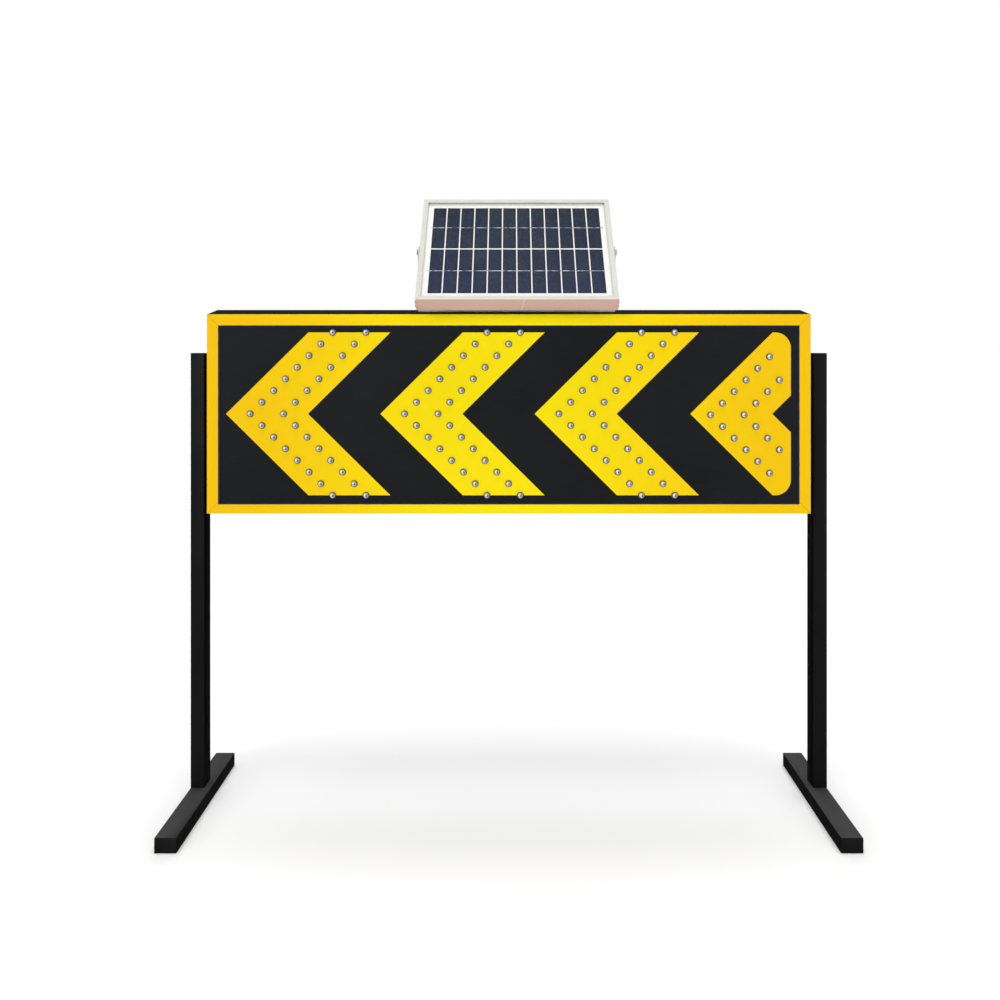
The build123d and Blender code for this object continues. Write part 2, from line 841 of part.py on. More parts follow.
# ---------------------------------------------------------------- controls on the rear wall
wall_back = behind.offset(sign_depth)
switch_face = mirrored_spots([switch_spot])
rocker_axis_y = sign_depth + switch_bezel - 2.2
rocker_pocket = 9
with BuildPart() as power_switch_body:
    with BuildSketch(wall_back):
        with Locations(*switch_face):
            Circle(switch_bezel_radius)
    extrude(amount=switch_bezel)
    chamfer(power_switch_body.faces().sort_by(Axis.Y)[-1].edges(), length=0.8)
    with BuildSketch(wall_back):
        with Locations(*switch_face):
            Circle(switch_radius)
    extrude(amount=-switch_body)
    with BuildSketch(wall_back.offset(switch_bezel)):
        with Locations(*switch_face):
            Rectangle(rocker_width + 2 * rocker_gap, rocker_length + 2 * rocker_gap)
    extrude(amount=-rocker_pocket, mode=Mode.SUBTRACT)
    with BuildSketch(Plane.YZ.offset(switch_x - rocker_width / 2 - 2)):
        with Locations((rocker_axis_y, sign_centre_z + switch_z)):
            Circle(rocker_pin_radius + hinge_running_gap)
    extrude(amount=rocker_width + 4, mode=Mode.SUBTRACT)
save(power_switch_body, "power_switch_body")

# The paddle is drawn level and shallow-vee'd, then turned to its off position about its pin.
half_rocker = rocker_length / 2
with BuildPart() as power_rocker:
    with BuildSketch(Plane.YZ.offset(switch_x - rocker_width / 2)):
        with Locations(Location((rocker_axis_y, sign_centre_z + switch_z), rocker_throw)):
            Polygon(
                (-3.2, -half_rocker + 1.2),
                (-3.2, half_rocker - 1.2),
                (2.2, half_rocker),
                (1.0, 0),
                (2.2, -half_rocker),
                align=None,
            )
    extrude(amount=rocker_width)
    with BuildSketch(Plane.YZ.offset(switch_x - rocker_width / 2 - 1.5)):
        with Locations((rocker_axis_y, sign_centre_z + switch_z)):
            Circle(rocker_pin_radius)
    extrude(amount=rocker_width + 3)
save(power_rocker, "power_rocker")

button_face = mirrored_spots([button_spot])
button_pocket = button_travel + 6
with BuildPart() as mode_button_body:
    with BuildSketch(wall_back):
        with Locations(*button_face):
            Circle(button_bezel_radius)
    extrude(amount=switch_bezel)
    chamfer(mode_button_body.faces().sort_by(Axis.Y)[-1].edges(), length=0.8)
    with BuildSketch(wall_back):
        with Locations(*button_face):
            Circle(button_radius)
    extrude(amount=-switch_body)
    with BuildSketch(wall_back.offset(switch_bezel)):
        with Locations(*button_face):
            Circle(button_cap_radius + button_gap)
    extrude(amount=-button_pocket - switch_bezel, mode=Mode.SUBTRACT)
save(mode_button_body, "mode_button_body")

with BuildPart() as mode_button_cap:
    with BuildSketch(wall_back.offset(switch_bezel + button_proud)):
        with Locations(*button_face):
            Circle(button_cap_radius)
    extrude(amount=-(button_proud + switch_bezel + button_pocket - button_travel - 0.5))
    fillet(mode_button_cap.faces().sort_by(Axis.Y)[-1].edges(), radius=0.8)
save(mode_button_cap, "mode_button_cap")

gland_face = mirrored_spots([gland_spot])
with BuildPart() as solar_lead_gland:
    with BuildSketch(behind.offset(rear_inner - 10)):
        with Locations(*gland_face):
            Circle(gland_thread_radius)
    extrude(amount=10 + wall)
    with BuildSketch(behind.offset(rear_inner - 5)):
        with Locations(*gland_face):
            RegularPolygon(gland_hex_radius, 6)
    extrude(amount=5)
    with BuildSketch(wall_back):
        with Locations(*gland_face):
            RegularPolygon(gland_hex_radius, 6)
    extrude(amount=5)
    with BuildSketch(wall_back.offset(5)):
        with Locations(*gland_face):
            Circle(gland_hex_radius - 2.2)
    extrude(amount=12)
    fillet(solar_lead_gland.faces().sort_by(Axis.Y)[-1].edges(), radius=4)
    with BuildSketch(behind.offset(rear_inner - 10)):
        with Locations(*gland_face):
            Circle(gland_bore_radius)
    extrude(amount=10 + wall + 17, mode=Mode.SUBTRACT)
save(solar_lead_gland, "solar_lead_gland")

# ---------------------------------------------------------------- equipment behind the door
plate_back = plate_depth + plate_thickness
floor_z = ground_clearance + wall
shelf_top_z = sign_centre_z + shelf_z
battery_back = plate_back + battery_size[1]
strap_back = battery_back + strap_thickness
battery_top_z = shelf_top_z + battery_size[2]
tray_depth = strap_back - plate_back

with BuildPart() as equipment_plate:
    with BuildSketch(Plane.XY.offset(floor_z)):
        with Locations((door_x, plate_depth + plate_thickness / 2)):
            Rectangle(plate_width, plate_thickness)
    extrude(amount=sign_centre_z + plate_top - floor_z)
    for shelf_under in (floor_z, shelf_top_z - plate_thickness):
        with BuildSketch(Plane.XY.offset(shelf_under)):
            with Locations((door_x, plate_back + tray_depth / 2)):
                Rectangle(plate_width, tray_depth)
        extrude(amount=plate_thickness)
save(equipment_plate, "equipment_plate")

with BuildPart() as battery_pack:
    with BuildSketch(Plane.XY.offset(shelf_top_z)):
        with Locations((battery_x, plate_back + battery_size[1] / 2)):
            RectangleRounded(battery_size[0], battery_size[1], 4)
    extrude(amount=battery_size[2])
save(battery_pack, "battery_pack")

with BuildPart() as battery_strap:
    with BuildSketch(Plane.YZ.offset(battery_x - strap_width / 2)):
        with BuildLine():
            Polyline(
                (strap_back, shelf_top_z),
                (strap_back, battery_top_z + strap_thickness),
                (plate_back + strap_thickness, battery_top_z + strap_thickness),
                (plate_back + strap_thickness, battery_top_z + 14),
                (plate_back, battery_top_z + 14),
                (plate_back, battery_top_z),
                (battery_back, battery_top_z),
                (battery_back, shelf_top_z),
                close=True,
            )
        make_face()
    extrude(amount=strap_width)
save(battery_strap, "battery_strap")

controller_under = sign_centre_z + controller_z
with BuildPart() as charge_controller:
    with BuildSketch(Plane.XY.offset(controller_under)):
        with Locations((door_x, plate_back + controller_size[1] / 2)):
            Rectangle(controller_size[0], controller_size[1])
    extrude(amount=controller_size[2])
    chamfer(charge_controller.faces().sort_by(Axis.Y)[-1].edges(), length=2)
save(charge_controller, "charge_controller")

with BuildPart() as terminal_block:
    with BuildSketch(Plane.XY.offset(controller_under - terminal_size[2])):
        with Locations((door_x, plate_back + 4 + terminal_size[1] / 2)):
            Rectangle(terminal_size[0], terminal_size[1])
    extrude(amount=terminal_size[2])
save(terminal_block, "terminal_block")


lead_y = plate_back + controller_size[1] / 2
left_face_x = door_x - controller_size[0] / 2
right_face_x = door_x + controller_size[0] / 2
battery_lead_x = battery_x + 60
terminal_y = plate_back + 4 + terminal_size[1] / 2
gland_inner = rear_inner - 10
lead_turn_x = switch_x + 28
feed_x = connector_centres[2]
feed_z = sign_centre_z + connector_size[1] / 2
feed_turn_x = door_x + plate_width / 2 + 16
feed_top = feed_z + 24
inlet_z = sign_centre_z + gland_z
routes = [
    # from the battery up to the terminals
    (
        (battery_lead_x, terminal_y, battery_top_z),
        (battery_lead_x, terminal_y, controller_under - terminal_size[2]),
    ),
    # from the gland forwards and down into the controller
    (
        (solar_x, gland_inner, inlet_z),
        (solar_x, lead_y, inlet_z),
        (solar_x, lead_y, controller_under + controller_size[2]),
    ),
    # from the lamp boards round the plate's edge into the controller
    (
        (feed_x, connector_middle, feed_z),
        (feed_x, connector_middle, feed_top),
        (feed_turn_x, connector_middle, feed_top),
        (feed_turn_x, lead_y, feed_top),
        (right_face_x, lead_y, feed_top),
    ),
]
# from the switch and from the button into the controller
for height, entry in ((switch_z, 30), (button_z, 15)):
    routes.append(
        (
            (switch_x, sign_depth - switch_body, sign_centre_z + height),
            (switch_x, lead_y, sign_centre_z + height),
            (lead_turn_x, lead_y, sign_centre_z + height),
            (lead_turn_x + 40, lead_y, controller_under + entry),
            (left_face_x, lead_y, controller_under + entry),
        )
    )

with BuildPart() as wiring_harness:
    for points in routes:
        with BuildLine() as route:
            if len(points) == 2:
                Line(*points)
            else:
                FilletPolyline(*points, radius=lead_bend)
        with BuildSketch(Plane(origin=route.wires()[0] @ 0, z_dir=route.wires()[0] % 0)):
            Circle(lead_radius)
        sweep(path=route.wires()[0])
save(wiring_harness, "wiring_harness")

# ---------------------------------------------------------------- solar panel
tilt = math.radians(solar_tilt)
solar_normal = (0, -math.sin(tilt), math.cos(tilt))
pivot_y = solar_pivot_depth
pivot_z = roof_z(pivot_y) + solar_pivot_height
half_thickness = solar_thickness / 2
solar_face = Plane(
    origin=(
        solar_x,
        pivot_y + half_thickness * solar_normal[1],
        pivot_z + half_thickness * solar_normal[2],
    ),
    x_dir=(1, 0, 0),
    z_dir=solar_normal,
)
glass_back = rail_lip_thickness + glass_thickness
ribbon_back = glass_back + ribbon_thickness
cell_back = ribbon_back + cell_thickness
sheet_back = cell_back + backsheet_thickness


half_w, half_l = solar_width / 2, solar_length / 2
mitre_reach = 40
inner_w, inner_l = half_w - mitre_reach, half_l - mitre_reach
rail_outlines = {
    "lower": [(-half_w, -half_l), (half_w, -half_l), (inner_w, -inner_l), (-inner_w, -inner_l)],
    "upper": [(-half_w, half_l), (half_w, half_l), (inner_w, inner_l), (-inner_w, inner_l)],
    "left": [(-half_w, -half_l), (-half_w, half_l), (-inner_w, inner_l), (-inner_w, -inner_l)],
    "right": [(half_w, -half_l), (half_w, half_l), (inner_w, inner_l), (inner_w, -inner_l)],
}
shelf_top = sheet_back + glazing_gap
rail_layers = [
    (rail_lip, 0, rail_lip_thickness),
    (rail_wall, 0, solar_thickness),
    (rail_shelf, shelf_top, shelf_top + rail_shelf_thickness),
    (rail_foot, solar_thickness - rail_lip_thickness, solar_thickness),
]
for name, outline in rail_outlines.items():
    with BuildPart() as rail:
        for inset, top, bottom in rail_layers:
            with BuildSketch(solar_face.offset(-bottom)):
                Rectangle(solar_width, solar_length)
                Rectangle(solar_width - 2 * inset, solar_length - 2 * inset, mode=Mode.SUBTRACT)
            extrude(amount=bottom - top)
        with BuildSketch(solar_face.offset(-solar_thickness)):
            Polygon(*outline, align=None)
        extrude(amount=solar_thickness, mode=Mode.INTERSECT)
        with BuildSketch(Plane.YZ.offset(solar_x - half_w - 1)):
            with Locations((pivot_y, pivot_z)):
                Circle(pivot_radius + side_hole_clearance)
        extrude(amount=solar_width + 2, mode=Mode.SUBTRACT)
    save(rail, f"solar_{name}_rail")

sheet_size = (solar_width - 2 * (rail_wall + glazing_gap), solar_length - 2 * (rail_wall + glazing_gap))
for name, top, bottom in (
    ("solar_glass", rail_lip_thickness, glass_back),
    ("solar_backsheet", cell_back, sheet_back),
):
    with BuildPart() as layer:
        with BuildSketch(solar_face.offset(-bottom)):
            Rectangle(*sheet_size)
        extrude(amount=bottom - top)
    save(layer, name)

cell_pitch = (
    (cell_field[0] + cell_gap[0]) / cell_columns,
    (cell_field[1] + cell_gap[1]) / cell_rows,
)
with BuildPart() as solar_cells:
    with BuildSketch(solar_face.offset(-cell_back)):
        with Locations((0, cell_field_shift)):
            with GridLocations(*cell_pitch, cell_columns, cell_rows):
                Rectangle(cell_pitch[0] - cell_gap[0], cell_pitch[1] - cell_gap[1])
    extrude(amount=cell_thickness)
save(solar_cells, "solar_cells")

with BuildPart() as solar_ribbons:
    with BuildSketch(solar_face.offset(-ribbon_back)):
        with Locations((0, cell_field_shift)):
            with GridLocations(1, cell_pitch[1], 1, cell_rows):
                Rectangle(cell_field[0] + 2 * ribbon_overhang, ribbon_width)
    extrude(amount=ribbon_thickness)
save(solar_ribbons, "solar_ribbons")

with BuildPart() as junction_box:
    with BuildSketch(solar_face.offset(-sheet_back)):
        with Locations((0, junction_shift)):
            RectangleRounded(junction_size[0], junction_size[1], 5)
    extrude(amount=-junction_size[2])
    with BuildSketch(solar_face.offset(-sheet_back - junction_size[2])):
        with Locations((0, junction_shift)):
            RectangleRounded(junction_size[0] + 2, junction_size[1] + 2, 6)
    extrude(amount=-junction_lid)
save(junction_box, "junction_box")

# ---------------------------------------------------------------- bracket that carries the panel
with BuildPart() as solar_bracket:
    with BuildSketch(roof):
        with Locations((solar_x, bracket_front + bracket_depth / 2)):
            Rectangle(2 * bracket_half_span, bracket_depth)
        with Locations(*bracket_rivet_spots):
            Circle(rivet_radius + hinge_running_gap, mode=Mode.SUBTRACT)
    extrude(amount=bracket_sheet)
    for side in sides:
        outer_x = solar_x + side * bracket_half_span
        front_foot = roof.from_local_coords((0, bracket_front, 0))
        rear_foot = roof.from_local_coords((0, bracket_front + bracket_depth, 0))
        with BuildSketch(Plane.YZ.offset(outer_x)):
            with Locations((pivot_y, pivot_z)):
                Circle(pivot_eye_radius)
            with BuildLine():
                Line((front_foot.Y, front_foot.Z), (rear_foot.Y, rear_foot.Z))
            make_hull()
            with Locations((pivot_y, pivot_z)):
                Circle(pivot_shoulder_radius + hinge_running_gap, mode=Mode.SUBTRACT)
        extrude(amount=-side * bracket_sheet)
save(solar_bracket, "solar_bracket")

turned(
    "bracket_rivets",
    roof,
    bracket_rivet_spots,
    [
        (rivet_tail_radius, -wall - rivet_tail, -wall),
        (rivet_radius, -wall, bracket_sheet),
        (rivet_head_radius, bracket_sheet, bracket_sheet + rivet_head),
    ],
    bore=(rivet_radius / 2, bracket_sheet, bracket_sheet + rivet_head),
)

# Shoulder bolts: the shoulder turns in the arm and butts on the rail, the thinner thread takes the nut.
with BuildPart() as pivot_bolts:
    for side in sides:
        arm_outer = solar_x + side * bracket_half_span
        shoulder = bracket_sheet + bracket_gap
        for radius, start, length in (
            (pivot_head_radius, 0, pivot_head),
            (pivot_shoulder_radius, 0, -shoulder),
            (pivot_radius, -shoulder, -rail_wall - pivot_nut),
        ):
            with BuildSketch(Plane.YZ.offset(arm_outer + side * start)):
                with Locations((pivot_y, pivot_z)):
                    Circle(radius)
            extrude(amount=side * length)
save(pivot_bolts, "pivot_bolts")

with BuildPart() as pivot_nuts:
    for side in sides:
        with BuildSketch(Plane.YZ.offset(solar_x + side * (half_w - rail_wall))):
            with Locations((pivot_y, pivot_z)):
                RegularPolygon(pivot_nut_radius, 6)
                Circle(pivot_radius + 0.1, mode=Mode.SUBTRACT)
        extrude(amount=-side * pivot_nut)
save(pivot_nuts, "pivot_nuts")
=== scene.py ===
"""Looks of the solar chevron board, built round its CAD frame.

Procedural materials, small fittings, stage, light and camera.
"""

import json
import math

import bmesh
import bpy
import numpy as np
from mathutils import Matrix, Vector


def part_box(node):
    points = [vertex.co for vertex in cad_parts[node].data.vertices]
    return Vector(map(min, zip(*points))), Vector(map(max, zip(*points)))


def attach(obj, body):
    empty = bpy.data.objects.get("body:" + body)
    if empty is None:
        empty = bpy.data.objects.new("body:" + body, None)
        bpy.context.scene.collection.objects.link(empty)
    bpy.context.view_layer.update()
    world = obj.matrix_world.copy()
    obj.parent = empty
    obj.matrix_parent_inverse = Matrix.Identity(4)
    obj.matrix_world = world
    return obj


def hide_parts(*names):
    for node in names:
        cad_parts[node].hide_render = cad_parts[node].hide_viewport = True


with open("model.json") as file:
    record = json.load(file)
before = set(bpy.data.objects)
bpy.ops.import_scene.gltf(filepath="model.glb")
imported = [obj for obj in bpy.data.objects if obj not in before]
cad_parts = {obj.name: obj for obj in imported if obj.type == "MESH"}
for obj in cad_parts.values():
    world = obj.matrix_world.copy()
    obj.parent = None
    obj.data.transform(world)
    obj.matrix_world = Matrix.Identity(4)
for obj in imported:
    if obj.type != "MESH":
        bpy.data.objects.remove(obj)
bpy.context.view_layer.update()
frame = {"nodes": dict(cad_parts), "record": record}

MM = 0.001
SIGN = "sign"
PANEL = "solar_panel"
DOOR = "door"
ROCKER = "power_rocker"
BACKWARDS = (0, 1, 0)
WELD = 0.01 * MM  # vertices nearer than this are one
nodes = frame["nodes"]


# ---------------------------------------------------------------- places read from the frame
def size_of(node):
    low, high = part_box(node)
    return high - low


def middle_of(node):
    low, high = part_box(node)
    return (low + high) / 2


bezel_low, bezel_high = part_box("front_bezel")
housing_low, housing_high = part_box("rear_housing")
sign_mid_z = (bezel_low.z + bezel_high.z) / 2
sign_half_width = (bezel_high.x - bezel_low.x) / 2
sign_half_height = (bezel_high.z - bezel_low.z) / 2


def clusters(node):
    """Each loose piece of a CAD node as (centre, size), from its connected vertices."""
    mesh = nodes[node].data
    bm = bmesh.new()
    bm.from_mesh(mesh)
    bmesh.ops.remove_doubles(bm, verts=bm.verts, dist=WELD)
    seen = set()
    found = []
    for start in bm.verts:
        if start.index in seen:
            continue
        stack = [start]
        seen.add(start.index)
        points = []
        while stack:
            vertex = stack.pop()
            points.append(vertex.co.copy())
            for edge in vertex.link_edges:
                other = edge.other_vert(vertex)
                if other.index not in seen:
                    seen.add(other.index)
                    stack.append(other)
        spots = np.array(points)
        low, high = Vector(spots.min(0)), Vector(spots.max(0))
        found.append(((low + high) / 2, high - low))
    bm.free()
    return sorted(found, key=lambda item: tuple(round(v, 4) for v in item[0]))


def panel_axes():
    """The solar panel's own frame: its centre, its up-slope direction and its outward normal."""
    low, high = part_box("solar_glass")
    flat = size_of("solar_glass")
    tilt = math.atan2(flat.z, flat.y)
    along = Vector((0.0, math.cos(tilt), math.sin(tilt)))
    normal = Vector((0.0, -math.sin(tilt), math.cos(tilt)))
    return (low + high) / 2, along, normal


# ---------------------------------------------------------------- node graph helper
class Graph:
    """Short-hand for building one material's node graph."""

    def __init__(self, name):
        self.material = bpy.data.materials.new(name)
        self.material.use_nodes = True
        self.tree = self.material.node_tree
        self.shader = self.tree.nodes["Principled BSDF"]
        coordinates = self.add("ShaderNodeTexCoord")
        self.place = coordinates.outputs["Object"]
        self.facing = coordinates.outputs["Normal"]

    def add(self, kind, **settings):
        node = self.tree.nodes.new(kind)
        for key, value in settings.items():
            setattr(node, key, value)
        return node

    def plug(self, value, socket):
        if isinstance(value, bpy.types.NodeSocket):
            self.tree.links.new(value, socket)
        elif value is not None:
            socket.default_value = value

    def maths(self, operation, a, b=None, c=None):
        node = self.add("ShaderNodeMath", operation=operation)
        for value, socket in zip((a, b, c), node.inputs):
            self.plug(value, socket)
        return node.outputs[0]

    def vector(self, operation, a, b=None):
        node = self.add("ShaderNodeVectorMath", operation=operation)
        self.plug(a, node.inputs[0])
        if operation == "SCALE":
            self.plug(b, node.inputs["Scale"])
        else:
            self.plug(b, node.inputs[1])
        return node.outputs[1 if operation in ("LENGTH", "DISTANCE", "DOT_PRODUCT") else 0]

    def parts(self, value=None):
        node = self.add("ShaderNodeSeparateXYZ")
        self.plug(self.place if value is None else value, node.inputs[0])
        return node.outputs

    def noise(self, scale, detail=3.0, roughness=0.55, vector=None, distortion=0.0):
        node = self.add("ShaderNodeTexNoise")
        self.plug(self.place if vector is None else vector, node.inputs["Vector"])
        node.inputs["Scale"].default_value = scale
        node.inputs["Detail"].default_value = detail
        node.inputs["Roughness"].default_value = roughness
        node.inputs["Distortion"].default_value = distortion
        return node.outputs["Fac"]

    def span(self, value, from_low, from_high, to_low=0.0, to_high=1.0, smooth=False):
        """The value's place between two readings, clamped and carried over to two others."""
        node = self.add("ShaderNodeMapRange", clamp=True)
        if smooth:
            node.interpolation_type = "SMOOTHSTEP"
        for item, socket in zip((value, from_low, from_high, to_low, to_high), node.inputs):
            self.plug(item, socket)
        return node.outputs[0]

    def mix(self, factor, a, b):
        node = self.add("ShaderNodeMix", data_type="RGBA")
        self.plug(factor, node.inputs[0])
        self.plug(colour(a), node.inputs[6])
        self.plug(colour(b), node.inputs[7])
        return node.outputs[2]

    def ramp(self, factor, stops):
        """Eased colours between (position, colour) stops."""
        node = self.add("ShaderNodeValToRGB")
        node.color_ramp.interpolation = "EASE"
        while len(node.color_ramp.elements) < len(stops):
            node.color_ramp.elements.new(0.5)
        for element, (place, value) in zip(node.color_ramp.elements, stops):
            element.position = place
            element.color = colour(value)
        self.plug(factor, node.inputs[0])
        return node.outputs[0]

    def scaled(self, x=1.0, y=1.0, z=1.0, turn=(0.0, 0.0, 0.0)):
        node = self.add("ShaderNodeMapping")
        self.plug(self.place, node.inputs["Vector"])
        node.inputs["Scale"].default_value = (x, y, z)
        node.inputs["Rotation"].default_value = turn
        return node.outputs[0]

    def bump(self, height, strength, distance):
        node = self.add("ShaderNodeBump")
        node.inputs["Strength"].default_value = strength
        node.inputs["Distance"].default_value = distance
        self.plug(height, node.inputs["Height"])
        return node.outputs[0]

    def edge_mask(self, radius=1.2 * MM):
        """1 on convex and concave edges, 0 on flats: where a rounded normal leaves the true one."""
        rounded = self.add("ShaderNodeBevel", samples=4)
        rounded.inputs["Radius"].default_value = radius
        flat = self.add("ShaderNodeNewGeometry").outputs["Normal"]
        agreement = self.vector("DOT_PRODUCT", rounded.outputs[0], flat)
        return self.span(agreement, 0.99, 0.80)

    def finish(self, base, roughness, normal=None, **fixed):
        self.plug(colour(base), self.shader.inputs["Base Color"])
        self.plug(roughness, self.shader.inputs["Roughness"])
        self.plug(normal, self.shader.inputs["Normal"])
        for key, value in fixed.items():
            self.shader.inputs[key.replace("_", " ")].default_value = value
        return self.material


def colour(value):
    """An (r, g, b) triple in 0..255 display values as a linear colour; anything else passes through."""
    if isinstance(value, tuple) and len(value) == 3:
        return tuple(linear(channel / 255) for channel in value) + (1.0,)
    return value


def linear(c):
    return c / 12.92 if c <= 0.04045 else ((c + 0.055) / 1.055) ** 2.4


# ---------------------------------------------------------------- materials
def powder_coat(name, tone, gloss=0.42, level=0.2, dust=0.0, painted_top_shading=None, painted_inner_shade=None):
    """Textured paint: fine orange peel, soft patches, worn edges.

    A top tone paints light or shade on upward faces, an inner tone paints shade on the faces that look
    towards the sign's middle, and the foot may be dusty.
    """
    dust_height = 50 * MM
    g = Graph(name)
    patches = g.noise(6.0, 4.0)
    base = g.mix(g.span(patches, 0.35, 0.7), tone, tuple(c * 1.12 + 1 for c in tone))
    specks = g.span(g.noise(900.0, 1.0), 0.66, 0.74)
    base = g.mix(g.maths("MULTIPLY", specks, 0.25), base, tuple(c * 1.8 + 6 for c in tone))
    rubbed = g.maths("MULTIPLY", g.edge_mask(), g.span(g.noise(45.0, 5.0), 0.56, 0.72))
    base = g.mix(g.maths("MULTIPLY", rubbed, 0.35), base, (112, 112, 110))
    # painted shade: side faces that look towards the sign's middle take a darker tone
    if painted_inner_shade:
        place = g.parts()
        outward = g.maths("MULTIPLY", g.parts(g.facing)["X"], g.maths("SIGN", place["X"]))
        inner = g.span(outward, -0.6, -0.95)
        raised = g.maths("GREATER_THAN", place["Z"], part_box("left_foot")[1].z)
        base = g.mix(g.maths("MULTIPLY", inner, raised), base, painted_inner_shade)
    # painted light and shade on upward faces: a paler or darker top tone, made patchy by the film noise
    if painted_top_shading:
        upward = g.span(g.parts(g.facing)["Z"], 0.6, 0.95)
        film = g.span(g.noise(18.0, 4.0, 0.6), 0.2, 0.8, 0.85, 1.0)
        base = g.mix(g.maths("MULTIPLY", upward, film), base, painted_top_shading)
    if dust:
        low = g.span(g.parts()["Z"], dust_height, 0.0)
        settled = g.maths("MULTIPLY", low, g.span(g.noise(60.0, 6.0, 0.7), 0.50, 0.80))
        base = g.mix(g.maths("MULTIPLY", settled, dust), base, (104, 101, 96))
    rough = g.span(g.noise(14.0, 3.0), 0.3, 0.7, gloss - 0.05, gloss + 0.10)
    peel = g.bump(g.noise(650.0, 2.0), 0.18, 0.12 * MM)
    return g.finish(base, rough, peel, Specular_IOR_Level=level)


def yellow_with_painted_falloff(g, edge, centre):
    """The sheeting's yellow with painted light: lightest in the sign's middle, falling off to a warmer,
    darker yellow towards its ends.
    """
    across = g.maths("DIVIDE", g.maths("ABSOLUTE", g.parts()["X"]), sign_half_width)
    return g.mix(g.span(across, 0.0, 1.0, smooth=True), centre, edge)


def retroreflective_yellow(name):
    """Prismatic sheeting: a honeycomb of sealed cells under a glossy film."""
    cells_per_metre = 240.0
    g = Graph(name)
    # painted light: yellow lightest in the middle, darker towards the ends
    base = yellow_with_painted_falloff(g, (245, 197, 0), (252, 230, 4))
    flat = g.scaled(1.0, 0.0, 1.0)
    cells = g.add("ShaderNodeTexVoronoi", feature="DISTANCE_TO_EDGE")
    g.plug(flat, cells.inputs["Vector"])
    cells.inputs["Scale"].default_value = cells_per_metre
    cells.inputs["Randomness"].default_value = 0.12
    ribs = g.span(cells.outputs["Distance"], 0.03, 0.10, 1.0, 0.0)
    base = g.mix(g.maths("MULTIPLY", ribs, 0.14), base, (255, 240, 40))
    cloud = g.span(g.noise(9.0, 3.0), 0.35, 0.75)
    base = g.mix(g.maths("MULTIPLY", cloud, 0.05), base, (226, 176, 10))
    relief = g.bump(ribs, 0.12, 0.1 * MM)
    rough = g.span(g.noise(60.0, 3.0), 0.3, 0.7, 0.30, 0.40)
    return g.finish(base, rough, relief, Specular_IOR_Level=0.10)


def bezel_yellow(name):
    """Painted aluminium lengths, mitred at the corners, with a hairline at each mitre."""
    mitre_width = 0.35 * MM
    g = Graph(name)
    # painted light: yellow lightest in the middle, darker towards the ends
    base = yellow_with_painted_falloff(g, (245, 195, 0), (252, 230, 4))
    place = g.parts()
    from_side = g.maths("SUBTRACT", g.maths("ABSOLUTE", place["X"]), sign_half_width)
    height = g.maths("ABSOLUTE", g.maths("SUBTRACT", place["Z"], sign_mid_z))
    from_top = g.maths("SUBTRACT", height, sign_half_height)
    diagonal = g.maths("ABSOLUTE", g.maths("SUBTRACT", from_side, from_top))
    mitre = g.maths("LESS_THAN", diagonal, mitre_width)
    base = g.mix(g.maths("MULTIPLY", mitre, 0.55), base, (96, 74, 8))
    chips = g.maths("MULTIPLY", g.edge_mask(0.8 * MM), g.span(g.noise(70.0, 5.0), 0.60, 0.72))
    base = g.mix(g.maths("MULTIPLY", chips, 0.4), base, (206, 190, 140))
    peel = g.bump(g.noise(700.0, 2.0), 0.12, 0.1 * MM)
    rough = g.span(g.noise(12.0, 3.0), 0.3, 0.7, 0.34, 0.46)
    return g.finish(base, rough, peel, Specular_IOR_Level=0.10)


def black_sheeting(name):
    """Satin black film on the aluminium face, with faint brushed streaks and handling haze."""
    g = Graph(name)
    streaks = g.noise(30.0, 4.0, vector=g.scaled(1.0, 1.0, 26.0))
    haze = g.span(g.noise(5.0, 4.0, 0.6), 0.35, 0.72)
    base = g.mix(haze, (24, 26, 28), (29, 31, 34))
    base = g.mix(g.span(streaks, 0.45, 0.75, 0.0, 0.3), base, (36, 38, 41))
    grain = g.bump(g.noise(520.0, 2.0), 0.10, 0.08 * MM)
    rough = g.span(haze, 0.0, 1.0, 0.40, 0.52)
    return g.finish(base, rough, grain, Specular_IOR_Level=0.12)


def metal(name, tone, roughness, streak=(1.0, 1.0, 18.0)):
    """Plated or bare metal: directional scratches and slightly uneven tone."""
    g = Graph(name)
    lines = g.noise(90.0, 5.0, 0.65, vector=g.scaled(*streak))
    stains = g.span(g.noise(16.0, 4.0), 0.40, 0.75)
    base = g.mix(g.span(lines, 0.3, 0.75, 0.0, 0.5), tone, tuple(c * 0.78 for c in tone))
    base = g.mix(g.maths("MULTIPLY", stains, 0.22), base, tuple(c * 0.62 for c in tone))
    rough = g.span(lines, 0.3, 0.7, roughness - 0.08, roughness + 0.12)
    return g.finish(base, rough, g.bump(lines, 0.15, 0.05 * MM), Metallic=0.7)


def plastic(name, tone, roughness=0.5, depth=0.25, level=0.35):
    """Moulded plastic: spark-eroded grain, faint tone change."""
    g = Graph(name)
    cloud = g.span(g.noise(24.0, 3.0), 0.3, 0.75)
    base = g.mix(cloud, tone, tuple(c * 1.16 + 2 for c in tone))
    pits = g.noise(420.0, 2.0)
    worn = g.maths("MULTIPLY", g.edge_mask(0.6 * MM), 0.22)
    base = g.mix(worn, base, tuple(c * 0.8 + 44 for c in tone))
    rough = g.span(pits, 0.3, 0.7, roughness - 0.06, roughness + 0.08)
    return g.finish(base, rough, g.bump(pits, depth, 0.08 * MM), Specular_IOR_Level=level)


def rubber(name, tone):
    """Moulded rubber with a chalky bloom."""
    g = Graph(name)
    bloom = g.span(g.noise(40.0, 5.0, 0.7), 0.42, 0.75)
    base = g.mix(g.maths("MULTIPLY", bloom, 0.5), tone, tuple(c * 1.3 + 8 for c in tone))
    grain = g.bump(g.noise(800.0, 2.0), 0.2, 0.1 * MM)
    return g.finish(base, 0.72, grain, Specular_IOR_Level=0.15)


